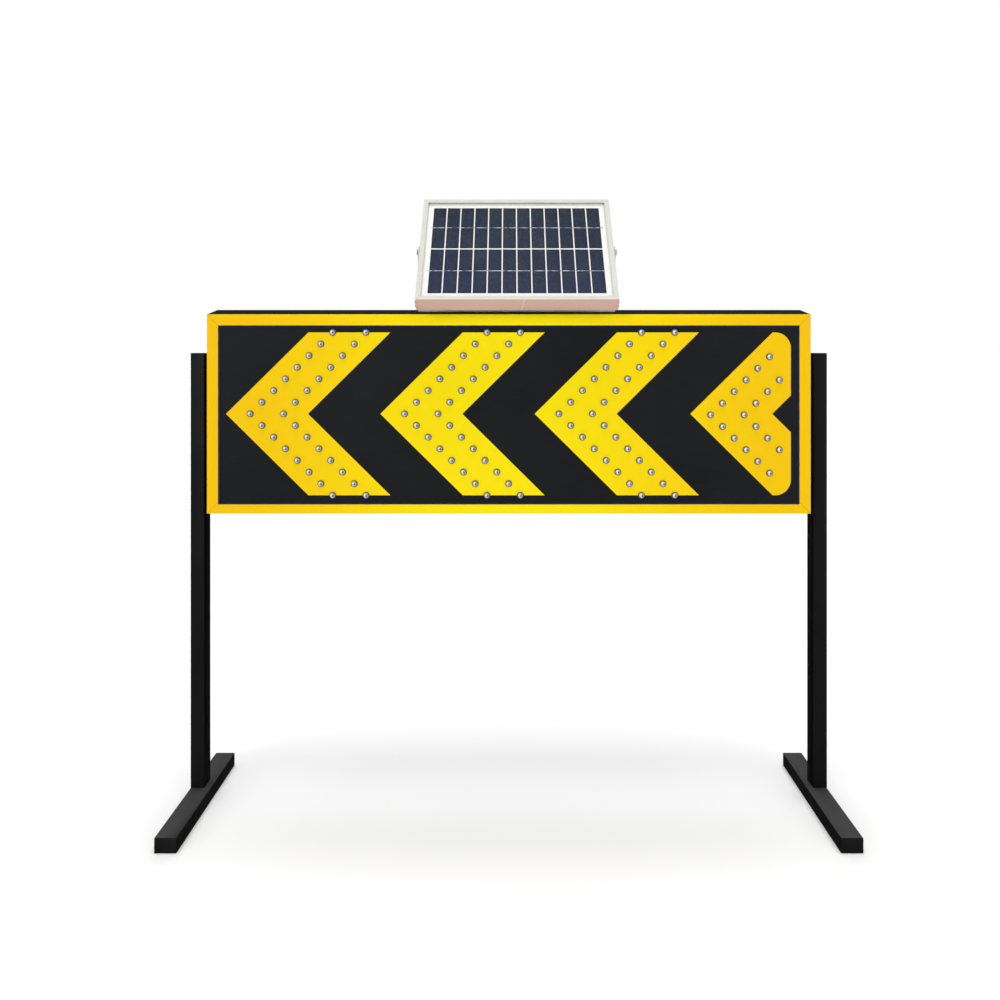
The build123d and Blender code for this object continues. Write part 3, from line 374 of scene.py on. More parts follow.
def painted_lamp_lens(name):
    """Opaque dome painted with the look of a clear lens: painted light across it, painted reflection
    rings, a blue painted reflection spot, a painted glint and a dark rim of painted shade.

    The attribute lamp_place holds each point's place in its own lamp, with the rim at 1.
    """
    # centres of the blue painted reflection spot and the white painted highlight
    painted_blue_spot_centre = (0.24, 0.0, -0.04)
    painted_glint_centre = (-0.36, 0.0, 0.30)
    # painted light: silvery, lighter on the left, darker to the right
    painted_light_across = [
        (0.0, (196, 202, 214)),
        (0.35, (206, 214, 234)),
        (0.7, (168, 180, 208)),
        (1.0, (186, 192, 204)),
    ]
    g = Graph(name)
    local = g.add("ShaderNodeAttribute", attribute_name="lamp_place").outputs["Vector"]
    out = g.vector("LENGTH", local)
    base = g.ramp(g.span(g.parts(local)["X"], -0.9, 0.9), painted_light_across)
    # painted reflection: faint lighter rings
    painted_reflection_rings = g.maths("SINE", g.maths("MULTIPLY", out, 24.0))
    base = g.mix(g.span(painted_reflection_rings, 0.5, 1.0, 0.0, 0.10), base, (238, 242, 250))
    # painted reflection: a blue spot right of centre
    painted_blue_spot = g.vector("DISTANCE", local, painted_blue_spot_centre)
    base = g.mix(g.span(painted_blue_spot, 0.60, 0.18, 0.0, 0.95, smooth=True), base, (74, 96, 164))
    # painted highlight: a white glint upper left
    painted_glint = g.vector("DISTANCE", local, painted_glint_centre)
    base = g.mix(g.span(painted_glint, 0.44, 0.16, 0.0, 1.0, smooth=True), base, (255, 255, 255))
    # painted shade: the dark rim
    rim = g.span(out, 0.78, 1.0, 0.0, 0.95, smooth=True)
    base = g.mix(rim, base, (58, 54, 56))
    return g.finish(
        base, 0.12, None, Coat_Weight=0.8, Coat_Roughness=0.03, Specular_IOR_Level=0.5
    )


def solar_cell(name):
    """Coated silicon under glass: blue-grey crystal patches, fine silver fingers, darker cell edges."""
    finger_pitch = 2.1 * MM
    teal_centre, teal_reach = -10 * MM, 90 * MM
    edge_start, edge_full = 2.2 * MM, 0.2 * MM  # in from a cell's edge
    g = Graph(name)
    centre, along, _ = panel_axes()
    cells = clusters("solar_cells")
    place = g.parts()
    climb = g.vector("DOT_PRODUCT", g.vector("SUBTRACT", g.place, tuple(centre)), tuple(along))
    top = size_of("solar_cells").z / along.z / 2
    up = g.span(climb, -top, top)
    base = g.mix(up, (36, 42, 66), (24, 32, 46))
    crystal = g.add("ShaderNodeTexVoronoi", feature="F1")
    g.plug(g.place, crystal.inputs["Vector"])
    crystal.inputs["Scale"].default_value = 95.0
    tint = g.span(g.parts(crystal.outputs["Color"])["X"], 0.0, 1.0)
    base = g.mix(g.maths("MULTIPLY", tint, 0.22), base, (46, 56, 90))
    off_teal = g.maths("ABSOLUTE", g.maths("SUBTRACT", place["X"], teal_centre))
    teal = g.span(off_teal, 0.0, teal_reach, 0.35, 0.0)
    base = g.mix(g.maths("MULTIPLY", teal, up), base, (32, 58, 64))
    finger = g.maths("SINE", g.maths("MULTIPLY", place["X"], 2 * math.pi / finger_pitch))
    base = g.mix(g.span(finger, 0.80, 1.0, 0.0, 0.12), base, (120, 126, 140))
    rim = None
    rows = sorted({round((spot - centre).dot(along), 4) for spot, _ in cells})
    columns = sorted({round(spot.x, 4) for spot, _ in cells})
    for reading, first, pitch, width in (
        (place["X"], columns[0], columns[1] - columns[0], cells[0][1].x),
        (climb, rows[0], rows[-1] - rows[0], cells[0][1].z / along.z),
    ):
        off_centre = g.maths("PINGPONG", g.maths("SUBTRACT", reading, first), pitch / 2)
        near = g.span(off_centre, width / 2 - edge_start, width / 2 - edge_full)
        rim = near if rim is None else g.maths("MAXIMUM", rim, near)
    base = g.mix(g.maths("MULTIPLY", rim, 0.75), base, (10, 13, 24))
    return g.finish(
        base, 0.34, None, Coat_Weight=0.25, Coat_Roughness=0.06, Specular_IOR_Level=0.15
    )


def backsheet(name):
    """White laminated film with the weave of what lies under it."""
    g = Graph(name)
    weave = g.noise(160.0, 3.0, vector=g.scaled(1.0, 3.0, 3.0))
    base = g.mix(g.span(weave, 0.35, 0.75), (247, 247, 241), (238, 238, 231))
    return g.finish(base, 0.55, g.bump(weave, 0.1, 0.05 * MM), Coat_Weight=0.3, Coat_Roughness=0.08)


def clear_glass(name):
    """Cover glass as a nearly invisible film of dust: the cells under it carry the gloss."""
    g = Graph(name)
    dust = g.span(g.noise(22.0, 5.0, 0.65), 0.40, 0.80)
    base = g.mix(dust, (222, 232, 234), (236, 234, 226))
    g.plug(g.span(dust, 0.0, 1.0, 0.004, 0.016), g.shader.inputs["Alpha"])
    return g.finish(base, 0.12, None, Specular_IOR_Level=0.5)


def tinned_ribbon(name):
    """Solder-coated bus ribbon: bright where the solder pooled, dull between."""
    g = Graph(name)
    pools = g.noise(75.0, 2.0, vector=g.scaled(1.0, 0.15, 0.15))
    base = g.mix(g.span(pools, 0.42, 0.56), (88, 94, 108), (228, 230, 234))
    return g.finish(base, 0.35, None, Metallic=0.15, Coat_Weight=0.3, Coat_Roughness=0.08)


def extrusion(name, tone, painted_reflection_tone):
    """Anodised extrusion with drawing lines.

    A front tone paints a reflection on the wall that looks down the slope: a warm pinkish cast, with one
    slanting join line.
    """
    join_foot, join_width, join_lean = 25 * MM, 0.6 * MM, 0.25
    g = Graph(name)
    lines = g.noise(60.0, 4.0, 0.6, vector=g.scaled(0.4, 6.0, 6.0))
    base = g.mix(g.span(lines, 0.3, 0.75), tone, tuple(c * 0.95 for c in tone))
    stains = g.span(g.noise(11.0, 5.0, 0.6), 0.48, 0.75)
    base = g.mix(g.maths("MULTIPLY", stains, 0.25), base, (188, 182, 168))
    # painted reflection: a warm cast on the down-slope wall, varying a little across
    if painted_reflection_tone:
        _, along, _ = panel_axes()
        outward = g.span(g.vector("DOT_PRODUCT", g.facing, tuple(-along)), 0.8, 0.97)
        place = g.parts()
        fade = g.span(place["X"], -sign_half_width / 3, sign_half_width / 3)
        film = g.mix(fade, painted_reflection_tone, tuple(c * 0.97 + 4 for c in painted_reflection_tone))
        slant = g.maths("MULTIPLY_ADD", place["Z"], -join_lean, place["X"])
        foot = join_foot - join_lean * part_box("solar_lower_rail")[0].z
        join = g.maths("COMPARE", slant, foot, join_width)
        film = g.mix(g.maths("MULTIPLY", join, 0.8), film, (244, 226, 218))
        base = g.mix(outward, base, film)
    rough = g.span(lines, 0.3, 0.7, 0.38, 0.5)
    drawn = g.bump(lines, 0.08, 0.05 * MM)
    return g.finish(base, rough, drawn, Metallic=0.1, Specular_IOR_Level=0.35)


def circuit_board(name):
    """Solder mask over copper tracks."""
    g = Graph(name)
    tracks = g.add("ShaderNodeTexBrick")
    g.plug(g.scaled(70.0, 1.0, 70.0, turn=(math.pi / 2, 0.0, 0.0)), tracks.inputs["Vector"])
    tracks.inputs["Mortar Size"].default_value = 0.03
    base = g.mix(tracks.outputs["Fac"], (16, 78, 40), (38, 112, 60))
    return g.finish(base, 0.32, g.bump(tracks.outputs["Fac"], 0.3, 0.05 * MM), Specular_IOR_Level=0.5)


def webbing(name):
    """Woven strap."""
    g = Graph(name)
    weave = g.add("ShaderNodeTexWave", wave_type="BANDS", bands_direction="DIAGONAL")
    g.plug(g.place, weave.inputs["Vector"])
    weave.inputs["Scale"].default_value = 420.0
    base = g.mix(weave.outputs["Fac"], (18, 18, 19), (46, 46, 48))
    return g.finish(base, 0.85, g.bump(weave.outputs["Fac"], 0.6, 0.3 * MM), Sheen_Weight=0.2)


def shrink_film(name, tone):
    """Wrinkled glossy wrap."""
    g = Graph(name)
    wrinkle = g.noise(38.0, 4.0, 0.6, vector=g.scaled(1.0, 1.0, 5.0), distortion=0.6)
    base = g.mix(g.span(wrinkle, 0.3, 0.7), tone, tuple(c * 1.2 for c in tone))
    return g.finish(base, 0.22, g.bump(wrinkle, 0.5, 0.5 * MM), Coat_Weight=0.4, Coat_Roughness=0.1)


MATERIALS = {
    # top tone (68, 68, 68): painted light on the tops of posts and feet; inner tone (9, 9, 9): painted
    # shade on their inner sides
    "black_powder_coat": powder_coat(
        "black_powder_coat", (21, 21, 21), 0.38, 0.10, 0.12, (68, 68, 68), (9, 9, 9)
    ),
    # top tone (11, 15, 32): painted shade, a dark navy top on the housing
    "black_housing": powder_coat("black_housing", (33, 35, 40), 0.40, 0.05, 0.0, (11, 15, 32)),
    "black_hinge": powder_coat("black_hinge", (20, 20, 21), 0.38, 0.25),
    "yellow_bezel": bezel_yellow("yellow_bezel"),
    "yellow_sheeting": retroreflective_yellow("yellow_sheeting"),
    "black_sheeting": black_sheeting("black_sheeting"),
    # navy gasket: a real seal, whose dark line at the bezel's inner edge also stands in for the shadow
    # line of that step, so it is partly painted shade
    "navy_rubber": rubber("navy_rubber", (26, 36, 76)),
    "black_rubber": rubber("black_rubber", (18, 18, 18)),
    "black_plastic": plastic("black_plastic", (17, 17, 18), 0.5, level=0.2),
    "grey_plastic": plastic("grey_plastic", (92, 94, 98)),
    "red_plastic": plastic("red_plastic", (168, 20, 16), 0.3, depth=0.1),
    "green_plastic": plastic("green_plastic", (24, 104, 52), 0.42),
    "white_nylon": plastic("white_nylon", (216, 216, 208), 0.5),
    "cable_jacket": plastic("cable_jacket", (20, 20, 21), 0.42, depth=0.1),
    # lamp rings: real holders, their olive-brown tone painted shade, the dark halo round each lamp seen
    # over yellow
    "dark_ring": plastic("dark_ring", (104, 88, 46), 0.42, depth=0.1),
    "zinc_steel": metal("zinc_steel", (196, 196, 190), 0.34),
    "bright_zinc": metal("bright_zinc", (208, 208, 206), 0.2),
    "bare_aluminium": metal("bare_aluminium", (198, 200, 204), 0.38, streak=(14.0, 1.0, 1.0)),
    "anodised_frame": extrusion("anodised_frame", (226, 227, 219), None),
    # (215, 178, 164): painted reflection, the warm cast on the rail's down-slope wall
    "lower_rail": extrusion("lower_rail", (228, 227, 218), (215, 178, 164)),
    "pale_bracket": plastic("pale_bracket", (206, 206, 196), 0.46, depth=0.12, level=0.3),
    "silver_ribbon": tinned_ribbon("silver_ribbon"),
    "solar_cell": solar_cell("solar_cell"),
    "white_backsheet": backsheet("white_backsheet"),
    "solar_glass": clear_glass("solar_glass"),
    "led_lens": painted_lamp_lens("led_lens"),
    "circuit_board": circuit_board("circuit_board"),
    "black_webbing": webbing("black_webbing"),
    "battery_wrap": shrink_film("battery_wrap", (16, 62, 138)),
}

# ---------------------------------------------------------------- CAD nodes: finish and softened edges
slot_of = {part["node"]: part["material_slot"] for part in frame["record"]["subparts"]}
for name, node in nodes.items():
    node.data.materials.clear()
    node.data.materials.append(MATERIALS[slot_of[name]])
nodes["solar_lower_rail"].data.materials[0] = MATERIALS["lower_rail"]


def soften(node, radius, segments):
    """Rounds a CAD node's sharp edges: its split vertices are welded and its flats merged first."""
    flat_angle, sharp_angle = math.radians(1.0), math.radians(35.0)
    weld = node.modifiers.new("weld", "WELD")
    weld.merge_threshold = WELD
    flats = node.modifiers.new("flats", "DECIMATE")
    flats.decimate_type = "DISSOLVE"
    flats.angle_limit = flat_angle
    edge = node.modifiers.new("edge", "BEVEL")
    edge.width = radius
    edge.segments = segments
    edge.limit_method = "ANGLE"
    edge.angle_limit = sharp_angle
    edge.harden_normals = True
    for polygon in node.data.polygons:
        polygon.use_smooth = True


for names, radius, segments in (
    (("left_post", "right_post", "left_foot", "right_foot"), 1.6 * MM, 3),
    (("post_top_caps", "foot_end_caps"), 0.7 * MM, 2),
    (("rear_housing",), 0.9 * MM, 2),
    (("battery_pack",), 3.0 * MM, 4),
    (("solar_bracket",), 0.5 * MM, 2),
    (("solar_lower_rail", "solar_upper_rail", "solar_left_rail", "solar_right_rail"), 0.3 * MM, 2),
    (("power_rocker", "junction_box", "terminal_block", "charge_controller"), 0.5 * MM, 2),
):
    for name in names:
        soften(nodes[name], radius, segments)


# ---------------------------------------------------------------- mesh helpers
LATHE_STEPS = 20


def mesh_from(name, build, outward=True):
    """The mesh that a function builds, its faces turned outwards unless told otherwise."""
    mesh = bpy.data.meshes.new(name)
    bm = bmesh.new()
    build(bm)
    if outward:
        bmesh.ops.recalc_face_normals(bm, faces=bm.faces)
    bm.normal_update()
    bm.to_mesh(mesh)
    bm.free()
    return mesh


def place_mesh(name, build, body, material, smooth=True):
    """A piece from the function that builds its mesh, in its material and riding on a body."""
    mesh = mesh_from(name, build)
    piece = bpy.data.objects.new(name, mesh)
    bpy.context.scene.collection.objects.link(piece)
    mesh.materials.append(MATERIALS[material])
    for polygon in mesh.polygons:
        polygon.use_smooth = smooth
    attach(piece, body)
    return piece


def lathe(bm, profile, matrix):
    """Turns (radius, height) points about the local Z axis and returns the new vertices."""
    turns = [2 * math.pi * i / LATHE_STEPS for i in range(LATHE_STEPS)]
    rings = []
    for radius, height in profile:
        spots = [(0.0, 0.0, height)]
        if radius:
            spots = [(radius * math.cos(turn), radius * math.sin(turn), height) for turn in turns]
        rings.append([bm.verts.new(matrix @ Vector(spot)) for spot in spots])
    for low, high in zip(rings, rings[1:]):
        for i in range(LATHE_STEPS):
            j = (i + 1) % LATHE_STEPS
            if len(high) == 1:
                bm.faces.new((low[i], low[j], high[0]))
            else:
                bm.faces.new((low[i], low[j], high[j], high[i]))
    return [vertex for ring in rings for vertex in ring]


def bridge(bm, lower, upper, closed=True):
    """Quads between two rows of vertices, all the way round when the rows are closed."""
    count = len(lower)
    for k in range(count if closed else count - 1):
        n = (k + 1) % count
        bm.faces.new((lower[k], lower[n], upper[n], upper[k]))


def block(bm, matrix, x, y, z):
    """A box of the given sides, centred on a matrix."""
    made = bmesh.ops.create_cube(bm, size=1.0)["verts"]
    bmesh.ops.scale(bm, vec=(x, y, z), verts=made)
    bmesh.ops.transform(bm, matrix=matrix, verts=made)


def facing(point, direction):
    """A matrix at a point whose local Z looks along a direction."""
    turn = Vector(direction).to_track_quat("Z", "Y").to_matrix().to_4x4()
    return Matrix.Translation(point) @ turn


# ---------------------------------------------------------------- lamps
def lamps():
    """Domed clear lenses with a collar, one on each lamp's centre in the frame."""
    places = clusters("led_lenses")
    radius = places[0][1].x / 2
    low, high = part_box("led_lenses")
    rim = 0.6 * MM  # from the collar's seat to the dome's foot
    collar = low.y + radius + rim
    barrel = radius * 0.74
    dome_steps = 9
    profile = [(barrel, collar - high.y), (barrel, 0.0), (radius, 0.0), (radius, 0.45 * MM)]
    for i in range(dome_steps):
        angle = math.pi / 2 * i / dome_steps
        profile.append((radius * math.cos(angle), rim + radius * math.sin(angle)))
    profile.append((0.0, rim + radius))

    def build(bm):
        layer = bm.verts.layers.float_vector.new("lamp_place")
        for centre, _ in places:
            seat = facing(Vector((centre.x, collar, centre.z)), (0, -1, 0))
            for vertex in lathe(bm, profile, seat):
                vertex[layer] = (vertex.co - Vector((centre.x, vertex.co.y, centre.z))) / radius

    piece = place_mesh("lamp_domes", build, SIGN, "led_lens")
    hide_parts("led_lenses")


lamps()


# ---------------------------------------------------------------- small fittings
def screw_head(bm, point, direction, radius, height, crossed):
    """A domed head seated on a face: a screw's with a cross in it, or a plain one."""
    seat = facing(point, direction)
    dome = [
        (radius, 0.0),
        (radius, height * 0.35),
        (radius * 0.86, height * 0.78),
        (radius * 0.56, height),
    ]
    if not crossed:
        lathe(bm, dome + [(0.0, height * 1.06)], seat)
        return
    recess = height - height * 0.55
    lathe(bm, dome + [(radius * 0.40, height), (radius * 0.30, recess), (0.0, recess)], seat)
    for turn in (0.0, math.pi / 2):
        bar = seat @ Matrix.Rotation(turn, 4, "Z") @ Matrix.Translation((0, 0, height * 0.72))
        block(bm, bar, radius, radius * 0.16, height * 0.5)


def heads(name, spots, direction, body, material, radius, height, crossed=True):
    """One piece of equal heads, one at each spot."""

    def build(bm):
        for spot in spots:
            screw_head(bm, Vector(spot), direction, radius, height, crossed)

    place_mesh(name, build, body, material)


def spread(low, high, count):
    return [low + (high - low) * i / (count - 1) for i in range(count)]


def hinge_screws():
    """Two screws through each hinge leaf, clear of its knuckles."""
    leaf, side_inset, end_inset = 2 * MM, 6 * MM, 10 * MM
    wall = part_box("fixed_hinge_leaves")[0].y
    door_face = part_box("access_door")[1].y
    for node, body, side, seat in (
        ("fixed_hinge_leaves", SIGN, 1, wall),
        ("door_hinge_leaves", DOOR, -1, door_face),
    ):
        spots = []
        for centre, size in clusters(node):
            x = centre.x + side * (size.x / 2 - side_inset)
            for lift in (-1, 1):
                spots.append((x, seat + leaf, centre.z + lift * (size.z / 2 - end_inset)))
        name = f"{node}_screws"
        heads(name, spots, BACKWARDS, body, "zinc_steel", radius=3.2 * MM, height=1.6 * MM)


def housing_rivets():
    """A line of rivets round the rear wall's edge, where it is fixed to the housing's returns."""
    inset, columns, rows = 9 * MM, 13, 5
    rear = housing_high.y
    left, right = housing_low.x + inset, housing_high.x - inset
    low, high = housing_low.z + inset, bezel_high.z - inset
    spots = [(x, rear, z) for x in spread(left, right, columns) for z in (low, high)]
    spots += [(x, rear, z) for z in spread(low, high, rows)[1:-1] for x in (left, right)]
    heads(
        "housing_rivets", spots, BACKWARDS, SIGN, "black_hinge",
        radius=3.0 * MM, height=1.3 * MM, crossed=False,
    )


def vent_louvres():
    """Two stacks of pressed louvres in the rear wall, one near each end, open downwards."""
    width, rise, pitch, proud, count = 74 * MM, 7 * MM, 14 * MM, 3.2 * MM, 6
    taper, lip = 5 * MM, 0.7 * MM
    stack_place = 0.74  # of the sign's half width, out from its middle
    steps = 8
    wall = housing_high.y

    def louvre(bm, centre_x, base_z):
        rows = []
        for i in range(steps + 1):
            angle = math.pi / 2 * i / steps
            out = proud * math.cos(angle)
            up = rise * math.sin(angle)
            end = width / 2 - (1 - math.cos(angle)) * taper
            half = ((end, out), (end + out * 0.3, out * 0.75), (end + out, 0.0))
            section = [(-x, y) for x, y in reversed(half)] + list(half)
            rows.append([bm.verts.new((centre_x + x, wall + y, base_z + up)) for x, y in section])
        for lower, upper in zip(rows, rows[1:]):
            bridge(bm, lower, upper, closed=False)
        mouth = []
        for vertex in rows[0]:
            back = 0.0 if vertex.co.y < wall + WELD else lip
            mouth.append(bm.verts.new(vertex.co - Vector((0.0, back, 0.0))))
        for k in range(len(mouth) - 1):
            bm.faces.new((rows[0][k + 1], rows[0][k], mouth[k], mouth[k + 1]))

    def build(bm):
        for side in (-1, 1):
            for row in range(count):
                lift = (row - (count - 1) / 2) * pitch
                louvre(bm, side * stack_place * sign_half_width, sign_mid_z + lift)

    place_mesh("vent_louvres", build, SIGN, "black_housing")


def rounded_loop(half_width, half_height, radius):
    """Points of a rounded rectangle about the origin, counter-clockwise."""
    steps = 6  # in each corner
    points = []
    for quarter, (sx, sz) in enumerate(((1, 1), (-1, 1), (-1, -1), (1, -1))):
        for i in range(steps + 1):
            angle = math.pi / 2 * (quarter + i / steps)
            x = sx * (half_width - radius) + radius * math.cos(angle)
            z = sz * (half_height - radius) + radius * math.sin(angle)
            points.append((x, z))
    return points


def door_bead():
    """A pressed stiffening bead round the door's middle, half round in section."""
    low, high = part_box("access_door")
    centre = (low + high) / 2
    side_margin, end_margin, corner = 62 * MM, 34 * MM, 16 * MM
    half_width = (high.x - low.x) / 2 - side_margin
    half_height = (high.z - low.z) / 2 - end_margin
    width, proud, steps = 7 * MM, 1.6 * MM, 6

    def build(bm):
        loops = []
        for i in range(steps + 1):
            angle = math.pi * i / steps
            offset = width / 2 * math.cos(angle)
            y = high.y + proud * math.sin(angle)
            outline = rounded_loop(half_width + offset, half_height + offset, corner + offset)
            loops.append([bm.verts.new((centre.x + x, y, centre.z + z)) for x, z in outline])
        for inner, outer in zip(loops, loops[1:]):
            bridge(bm, inner, outer)

    place_mesh("door_bead", build, DOOR, "black_housing")


def junction_box_fittings():
    """Lid screws at the corners and two moulded lead outlets on the lower side."""
    lid_height, screw_sink, screw_side, screw_end = 9 * MM, 0.2 * MM, 39 * MM, 24 * MM
    outlet_side, outlet_low, outlet_sink = 20 * MM, 29.5 * MM, 1 * MM
    outlet = (
        (5.4, 0), (5.4, 2.4), (4.4, 2.8), (4.4, 6.0), (5.0, 6.4),
        (5.0, 10.0), (3.6, 11.5), (2.2, 11.5), (2.2, 6.0), (0, 6.0),
    )  # radius and height in mm
    centre, along, normal = panel_axes()
    box = middle_of("junction_box")
    depth = (box - centre).dot(-normal)
    middle = centre + along * (box - centre).dot(along)
    middle.x = box.x
    lid = middle - normal * (depth + lid_height - screw_sink)
    spots = [
        lid + Vector((side * screw_side, 0, 0)) + along * (end * screw_end)
        for side in (-1, 1)
        for end in (-1, 1)
    ]
    heads(
        "junction_box_screws", spots, -normal, PANEL, "zinc_steel", radius=3.0 * MM, height=1.5 * MM
    )

    def build(bm):
        wall = middle - normal * (depth - outlet_sink) - along * outlet_low
        for side in (-1, 1):
            root = wall + Vector((side * outlet_side, 0, 0))
            lathe(bm, [(r * MM, h * MM) for r, h in outlet], facing(root, -along))

    place_mesh("junction_box_outlets", build, PANEL, "black_plastic")


def frame_screws():
    """Corner screws that hold the panel's rails together, on its two side walls."""
    end_inset, levels = 17 * MM, (-6 * MM, -16 * MM)
    centre, along, normal = panel_axes()
    half_length = size_of("solar_left_rail").y / 2 / along.y
    for node, side in (("solar_left_rail", -1), ("solar_right_rail", 1)):
        low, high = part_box(node)
        wall = low.x if side < 0 else high.x
        spots = []
        for end in (-1, 1):
            for level in levels:
                spot = centre + along * end * (half_length - end_inset) + normal * level
                spots.append((wall, spot.y, spot.z))
        name = f"{node}_screws"
        heads(name, spots, (side, 0, 0), PANEL, "zinc_steel", radius=2.4 * MM, height=0.9 * MM)


def controller_face():
    """The controller's front: a raised keypad with three indicator lamps and two keys."""
    half_width, half_height, corner = 44 * MM, 24 * MM, 5 * MM
    proud, sink = 0.9 * MM, 0.2 * MM
    top_share, top_rise = 0.985, 0.97  # of the keypad's width and height, at its face
    lamp_columns, lamp_row = (-28 * MM, -16 * MM, -4 * MM), 22 * MM
    key_columns, key_row = (-24 * MM, 24 * MM), -4 * MM
    ear, ear_sink = 8 * MM, 0.1 * MM
    low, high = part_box("charge_controller")
    centre = (low + high) / 2
    face = high.y + proud
    keypad_z = centre.z + 8 * MM

    def build(bm):
        outline = rounded_loop(half_width, half_height, corner)
        lower = [bm.verts.new((centre.x + x, high.y - sink, keypad_z + z)) for x, z in outline]
        upper = [
            bm.verts.new((centre.x + x * top_share, face, keypad_z + z * top_rise))
            for x, z in outline
        ]
        bridge(bm, lower, upper)
        bm.faces.new(upper)

    place_mesh("controller_keypad", build, SIGN, "black_plastic", smooth=False)
    lamp_spots = [(centre.x + x, face, centre.z + lamp_row) for x in lamp_columns]
    heads(
        "controller_lamps", lamp_spots, BACKWARDS, SIGN, "green_plastic",
        radius=2.2 * MM, height=1.4 * MM, crossed=False,
    )
    key_spots = [(centre.x + x, face, centre.z + key_row) for x in key_columns]
    heads(
        "controller_keys", key_spots, BACKWARDS, SIGN, "grey_plastic",
        radius=6.0 * MM, height=1.2 * MM, crossed=False,
    )
    ears = [(x, high.y - ear_sink, low.z + ear) for x in (low.x + ear, high.x - ear)]
    heads(
        "controller_screws", ears, BACKWARDS, SIGN, "zinc_steel", radius=3.2 * MM, height=1.5 * MM
    )


def terminal_screws():
    """A row of clamp screws along the terminal block."""
    inset, count = 8 * MM, 8
    low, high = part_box("terminal_block")
    middle = (low.z + high.z) / 2
    spots = [(x, high.y, middle) for x in spread(low.x + inset, high.x - inset, count)]
    heads(
        "terminal_screws", spots, BACKWARDS, SIGN, "bright_zinc", radius=2.6 * MM, height=0.8 * MM
    )


def plate_screws():
    """Screws along the equipment plate's top edge."""
    plate, side_inset, top_inset, count = 1.5 * MM, 14 * MM, 10 * MM, 4
    low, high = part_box("equipment_plate")
    places = spread(low.x + side_inset, high.x - side_inset, count)
    spots = [(x, low.y + plate, high.z - top_inset) for x in places]
    heads("plate_screws", spots, BACKWARDS, SIGN, "zinc_steel", radius=3.6 * MM, height=1.8 * MM)


def battery_ends():
    """Moulded end caps over the battery's wrapped cells."""
    clearance, corner = 0.4 * MM, 4.4 * MM
    # how far in from the battery's end each ring stands, and how much larger it is
    steps = ((16 * MM, 0.0), (15.4 * MM, 0.5 * MM), (0.6 * MM, 0.5 * MM), (-0.6 * MM, -0.6 * MM))
    grown_depth, grown_height = 20 * MM, 36 * MM  # half sizes that the growth is shared over
    low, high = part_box("battery_pack")
    centre = (low + high) / 2

    def build(bm):
        half_depth = (high.y - low.y) / 2 + clearance
        half_height = (high.z - low.z) / 2 + clearance
        section = rounded_loop(half_depth, half_height, corner)
        for side, end in ((-1, low.x), (1, high.x)):
            rings = []
            for reach, grow in steps:
                wide, tall = 1 + grow / grown_depth, 1 + grow / grown_height
                rings.append(
                    [
                        bm.verts.new((end - side * reach, centre.y + y * wide, centre.z + z * tall))
                        for y, z in section
                    ]
                )
            for lower, upper in zip(rings, rings[1:]):
                bridge(bm, lower, upper)
            bm.faces.new(rings[-1])

    place_mesh("battery_end_caps", build, SIGN, "black_plastic", smooth=False)


def rocker_marks():
    """A bar and a ring, pad-printed on the two slopes of the power switch's paddle."""
    crown, fall, half_length = 2.2 * MM, 1.2 * MM, 7.2 * MM  # of the paddle, above its pivot line
    mark_lift = 4.6 * MM  # from the pivot line to a mark
    film, bar_width, bar_length = 0.06 * MM, 0.5 * MM, 2.6 * MM
    ring_out, ring_in = 1.5 * MM, 1.05 * MM
    tilt = math.radians(10.0)  # of the paddle at rest
    centre = middle_of("power_rocker")
    pivot_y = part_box("power_switch_body")[1].y - crown
    ring = [(ring_out, -film), (ring_out, film), (ring_in, film), (ring_in, -film)]

    def build(bm):
        for end in (1, -1):
            lift = end * mark_lift
            depth = crown - fall * (1 - abs(lift) / half_length)
            y = pivot_y + depth * math.cos(tilt) - lift * math.sin(tilt)
            z = centre.z + depth * math.sin(tilt) + lift * math.cos(tilt)
            slope = math.atan2(fall, half_length) * end
            out = Vector((0.0, math.cos(tilt - slope), math.sin(tilt - slope)))
            seat = facing(Vector((centre.x, y, z)) + out * film, out)
            if end > 0:
                block(bm, seat, bar_width, bar_length, 2 * film)
            else:
                lathe(bm, ring, seat)

    place_mesh("rocker_marks", build, ROCKER, "white_nylon", smooth=False)


hinge_screws()
housing_rivets()
vent_louvres()
door_bead()
junction_box_fittings()
frame_screws()
controller_face()
terminal_screws()
plate_screws()
battery_ends()
rocker_marks()

# ---------------------------------------------------------------- stage, light and camera
FLOOR_HALF = 60.0  # metres
DOME_RADIUS = 58.0
SKY_EDGE = (18.0, 24.0)  # degrees above the horizon where the dark lower sky ends
SKY_LOW = 0.04
SKY_HIGH = 0.22
# name, strength, then spread, height above the horizon and bearing in degrees, and if gloss shows it
SUNS = (
    ("top", 2.38, 46.0, 90.0, 0.0, False),
    ("behind", 0.60, 40.0, 32.0, 180.0, False),
    ("front_left", 0.76, 26.0, 14.0, -30.0, True),
    ("front_right", 0.58, 26.0, 14.0, 30.0, True),
)
EYE = (0.0, -1.9, 0.904)
SENSOR_WIDTH, LENS = 36.0, 34.43
SHIFT = (-0.0088, -0.15)


def floor_white():
    """Matt near-white with faint clouding."""
    tone = (250, 250, 250)
    g = Graph("floor_white")
    base = g.mix(g.span(g.noise(3.0, 4.0), 0.3, 0.7), tone, tuple(c - 1 for c in tone))
    return g.finish(base, 0.6, None, Specular_IOR_Level=0.0)


def backdrop_glow():
    """Plain white light of its own, nothing reflected."""
    material = bpy.data.materials.new("backdrop_glow")
    material.use_nodes = True
    sockets = material.node_tree.nodes["Principled BSDF"].inputs
    sockets["Base Color"].default_value = (0.0, 0.0, 0.0, 1.0)
    sockets["Specular IOR Level"].default_value = 0.0
    sockets["Emission Color"].default_value = (1.0, 1.0, 1.0, 1.0)
    sockets["Emission Strength"].default_value = 1.0
    return material


def stage(name, build, material):
    """A floor or backdrop that isn't part of the object."""
    piece = bpy.data.objects.new(name, mesh_from(name, build, outward=False))
    bpy.context.scene.collection.objects.link(piece)
    piece.data.materials.append(material)
    piece.visible_glossy = False
    return piece


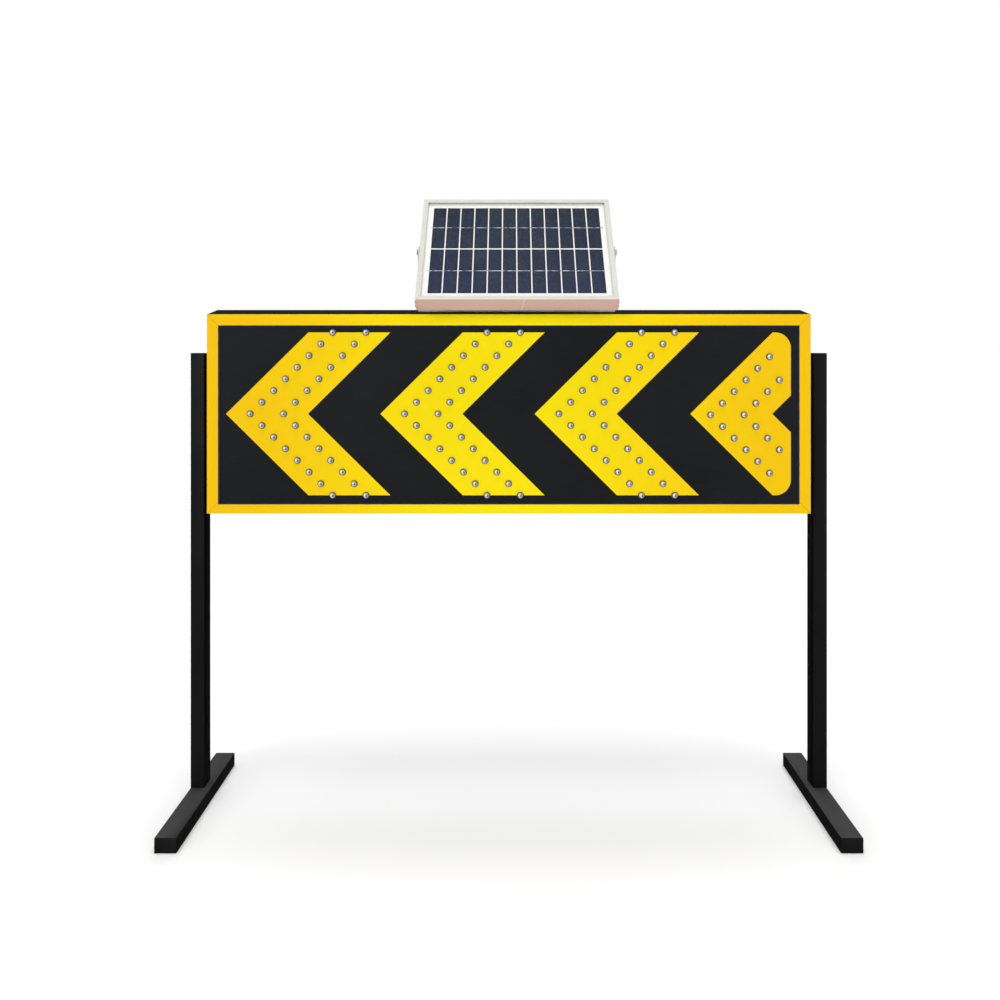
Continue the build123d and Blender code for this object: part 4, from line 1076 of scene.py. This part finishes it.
def studio():
    """Floor, white backdrop, a sky that is dark near the horizon, and four broad suns."""
    scene = bpy.context.scene
    stage(
        "floor",
        lambda bm: bmesh.ops.create_grid(bm, x_segments=1, y_segments=1, size=FLOOR_HALF),
        floor_white(),
    )
    dome = stage(
        "backdrop",
        lambda bm: bmesh.ops.create_uvsphere(bm, u_segments=48, v_segments=24, radius=DOME_RADIUS),
        backdrop_glow(),
    )
    dome.visible_diffuse = False
    dome.visible_transmission = False
    dome.visible_volume_scatter = False
    dome.visible_shadow = False

    world = bpy.data.worlds.new("studio")
    scene.world = world
    world.use_nodes = True
    sky = world.node_tree.nodes
    direction = sky.new("ShaderNodeTexCoord")
    split = sky.new("ShaderNodeSeparateXYZ")
    height = sky.new("ShaderNodeMapRange")
    height.inputs["From Min"].default_value = math.sin(math.radians(SKY_EDGE[0]))
    height.inputs["From Max"].default_value = math.sin(math.radians(SKY_EDGE[1]))
    height.inputs["To Min"].default_value = SKY_LOW
    height.inputs["To Max"].default_value = SKY_HIGH
    links = world.node_tree.links
    links.new(direction.outputs["Generated"], split.inputs[0])
    links.new(split.outputs["Z"], height.inputs["Value"])
    links.new(height.outputs[0], sky["Background"].inputs["Strength"])
    sky["Background"].inputs["Color"].default_value = (1.0, 1.0, 1.0, 1.0)

    for name, strength, width, rise, bearing, glossy in SUNS:
        lamp = bpy.data.lights.new(name, "SUN")
        lamp.energy = strength
        lamp.angle = math.radians(width)
        holder = bpy.data.objects.new(name, lamp)
        holder.rotation_euler = (math.radians(90.0 - rise), 0.0, math.radians(bearing))
        holder.visible_glossy = glossy
        scene.collection.objects.link(holder)

    scene.view_settings.view_transform = "Standard"
    scene.view_settings.look = "None"


def camera():
    """Level camera in front of the lit face, its frame shifted down and sideways as in the photograph."""
    data = bpy.data.cameras.new("camera")
    data.sensor_width = SENSOR_WIDTH
    data.lens = LENS
    data.shift_x, data.shift_y = SHIFT
    data.clip_end = 200.0
    eye = bpy.data.objects.new("camera", data)
    eye.location = EYE
    eye.rotation_euler = (math.radians(90.0), 0.0, 0.0)
    bpy.context.scene.collection.objects.link(eye)
    bpy.context.scene.camera = eye


studio()
camera()
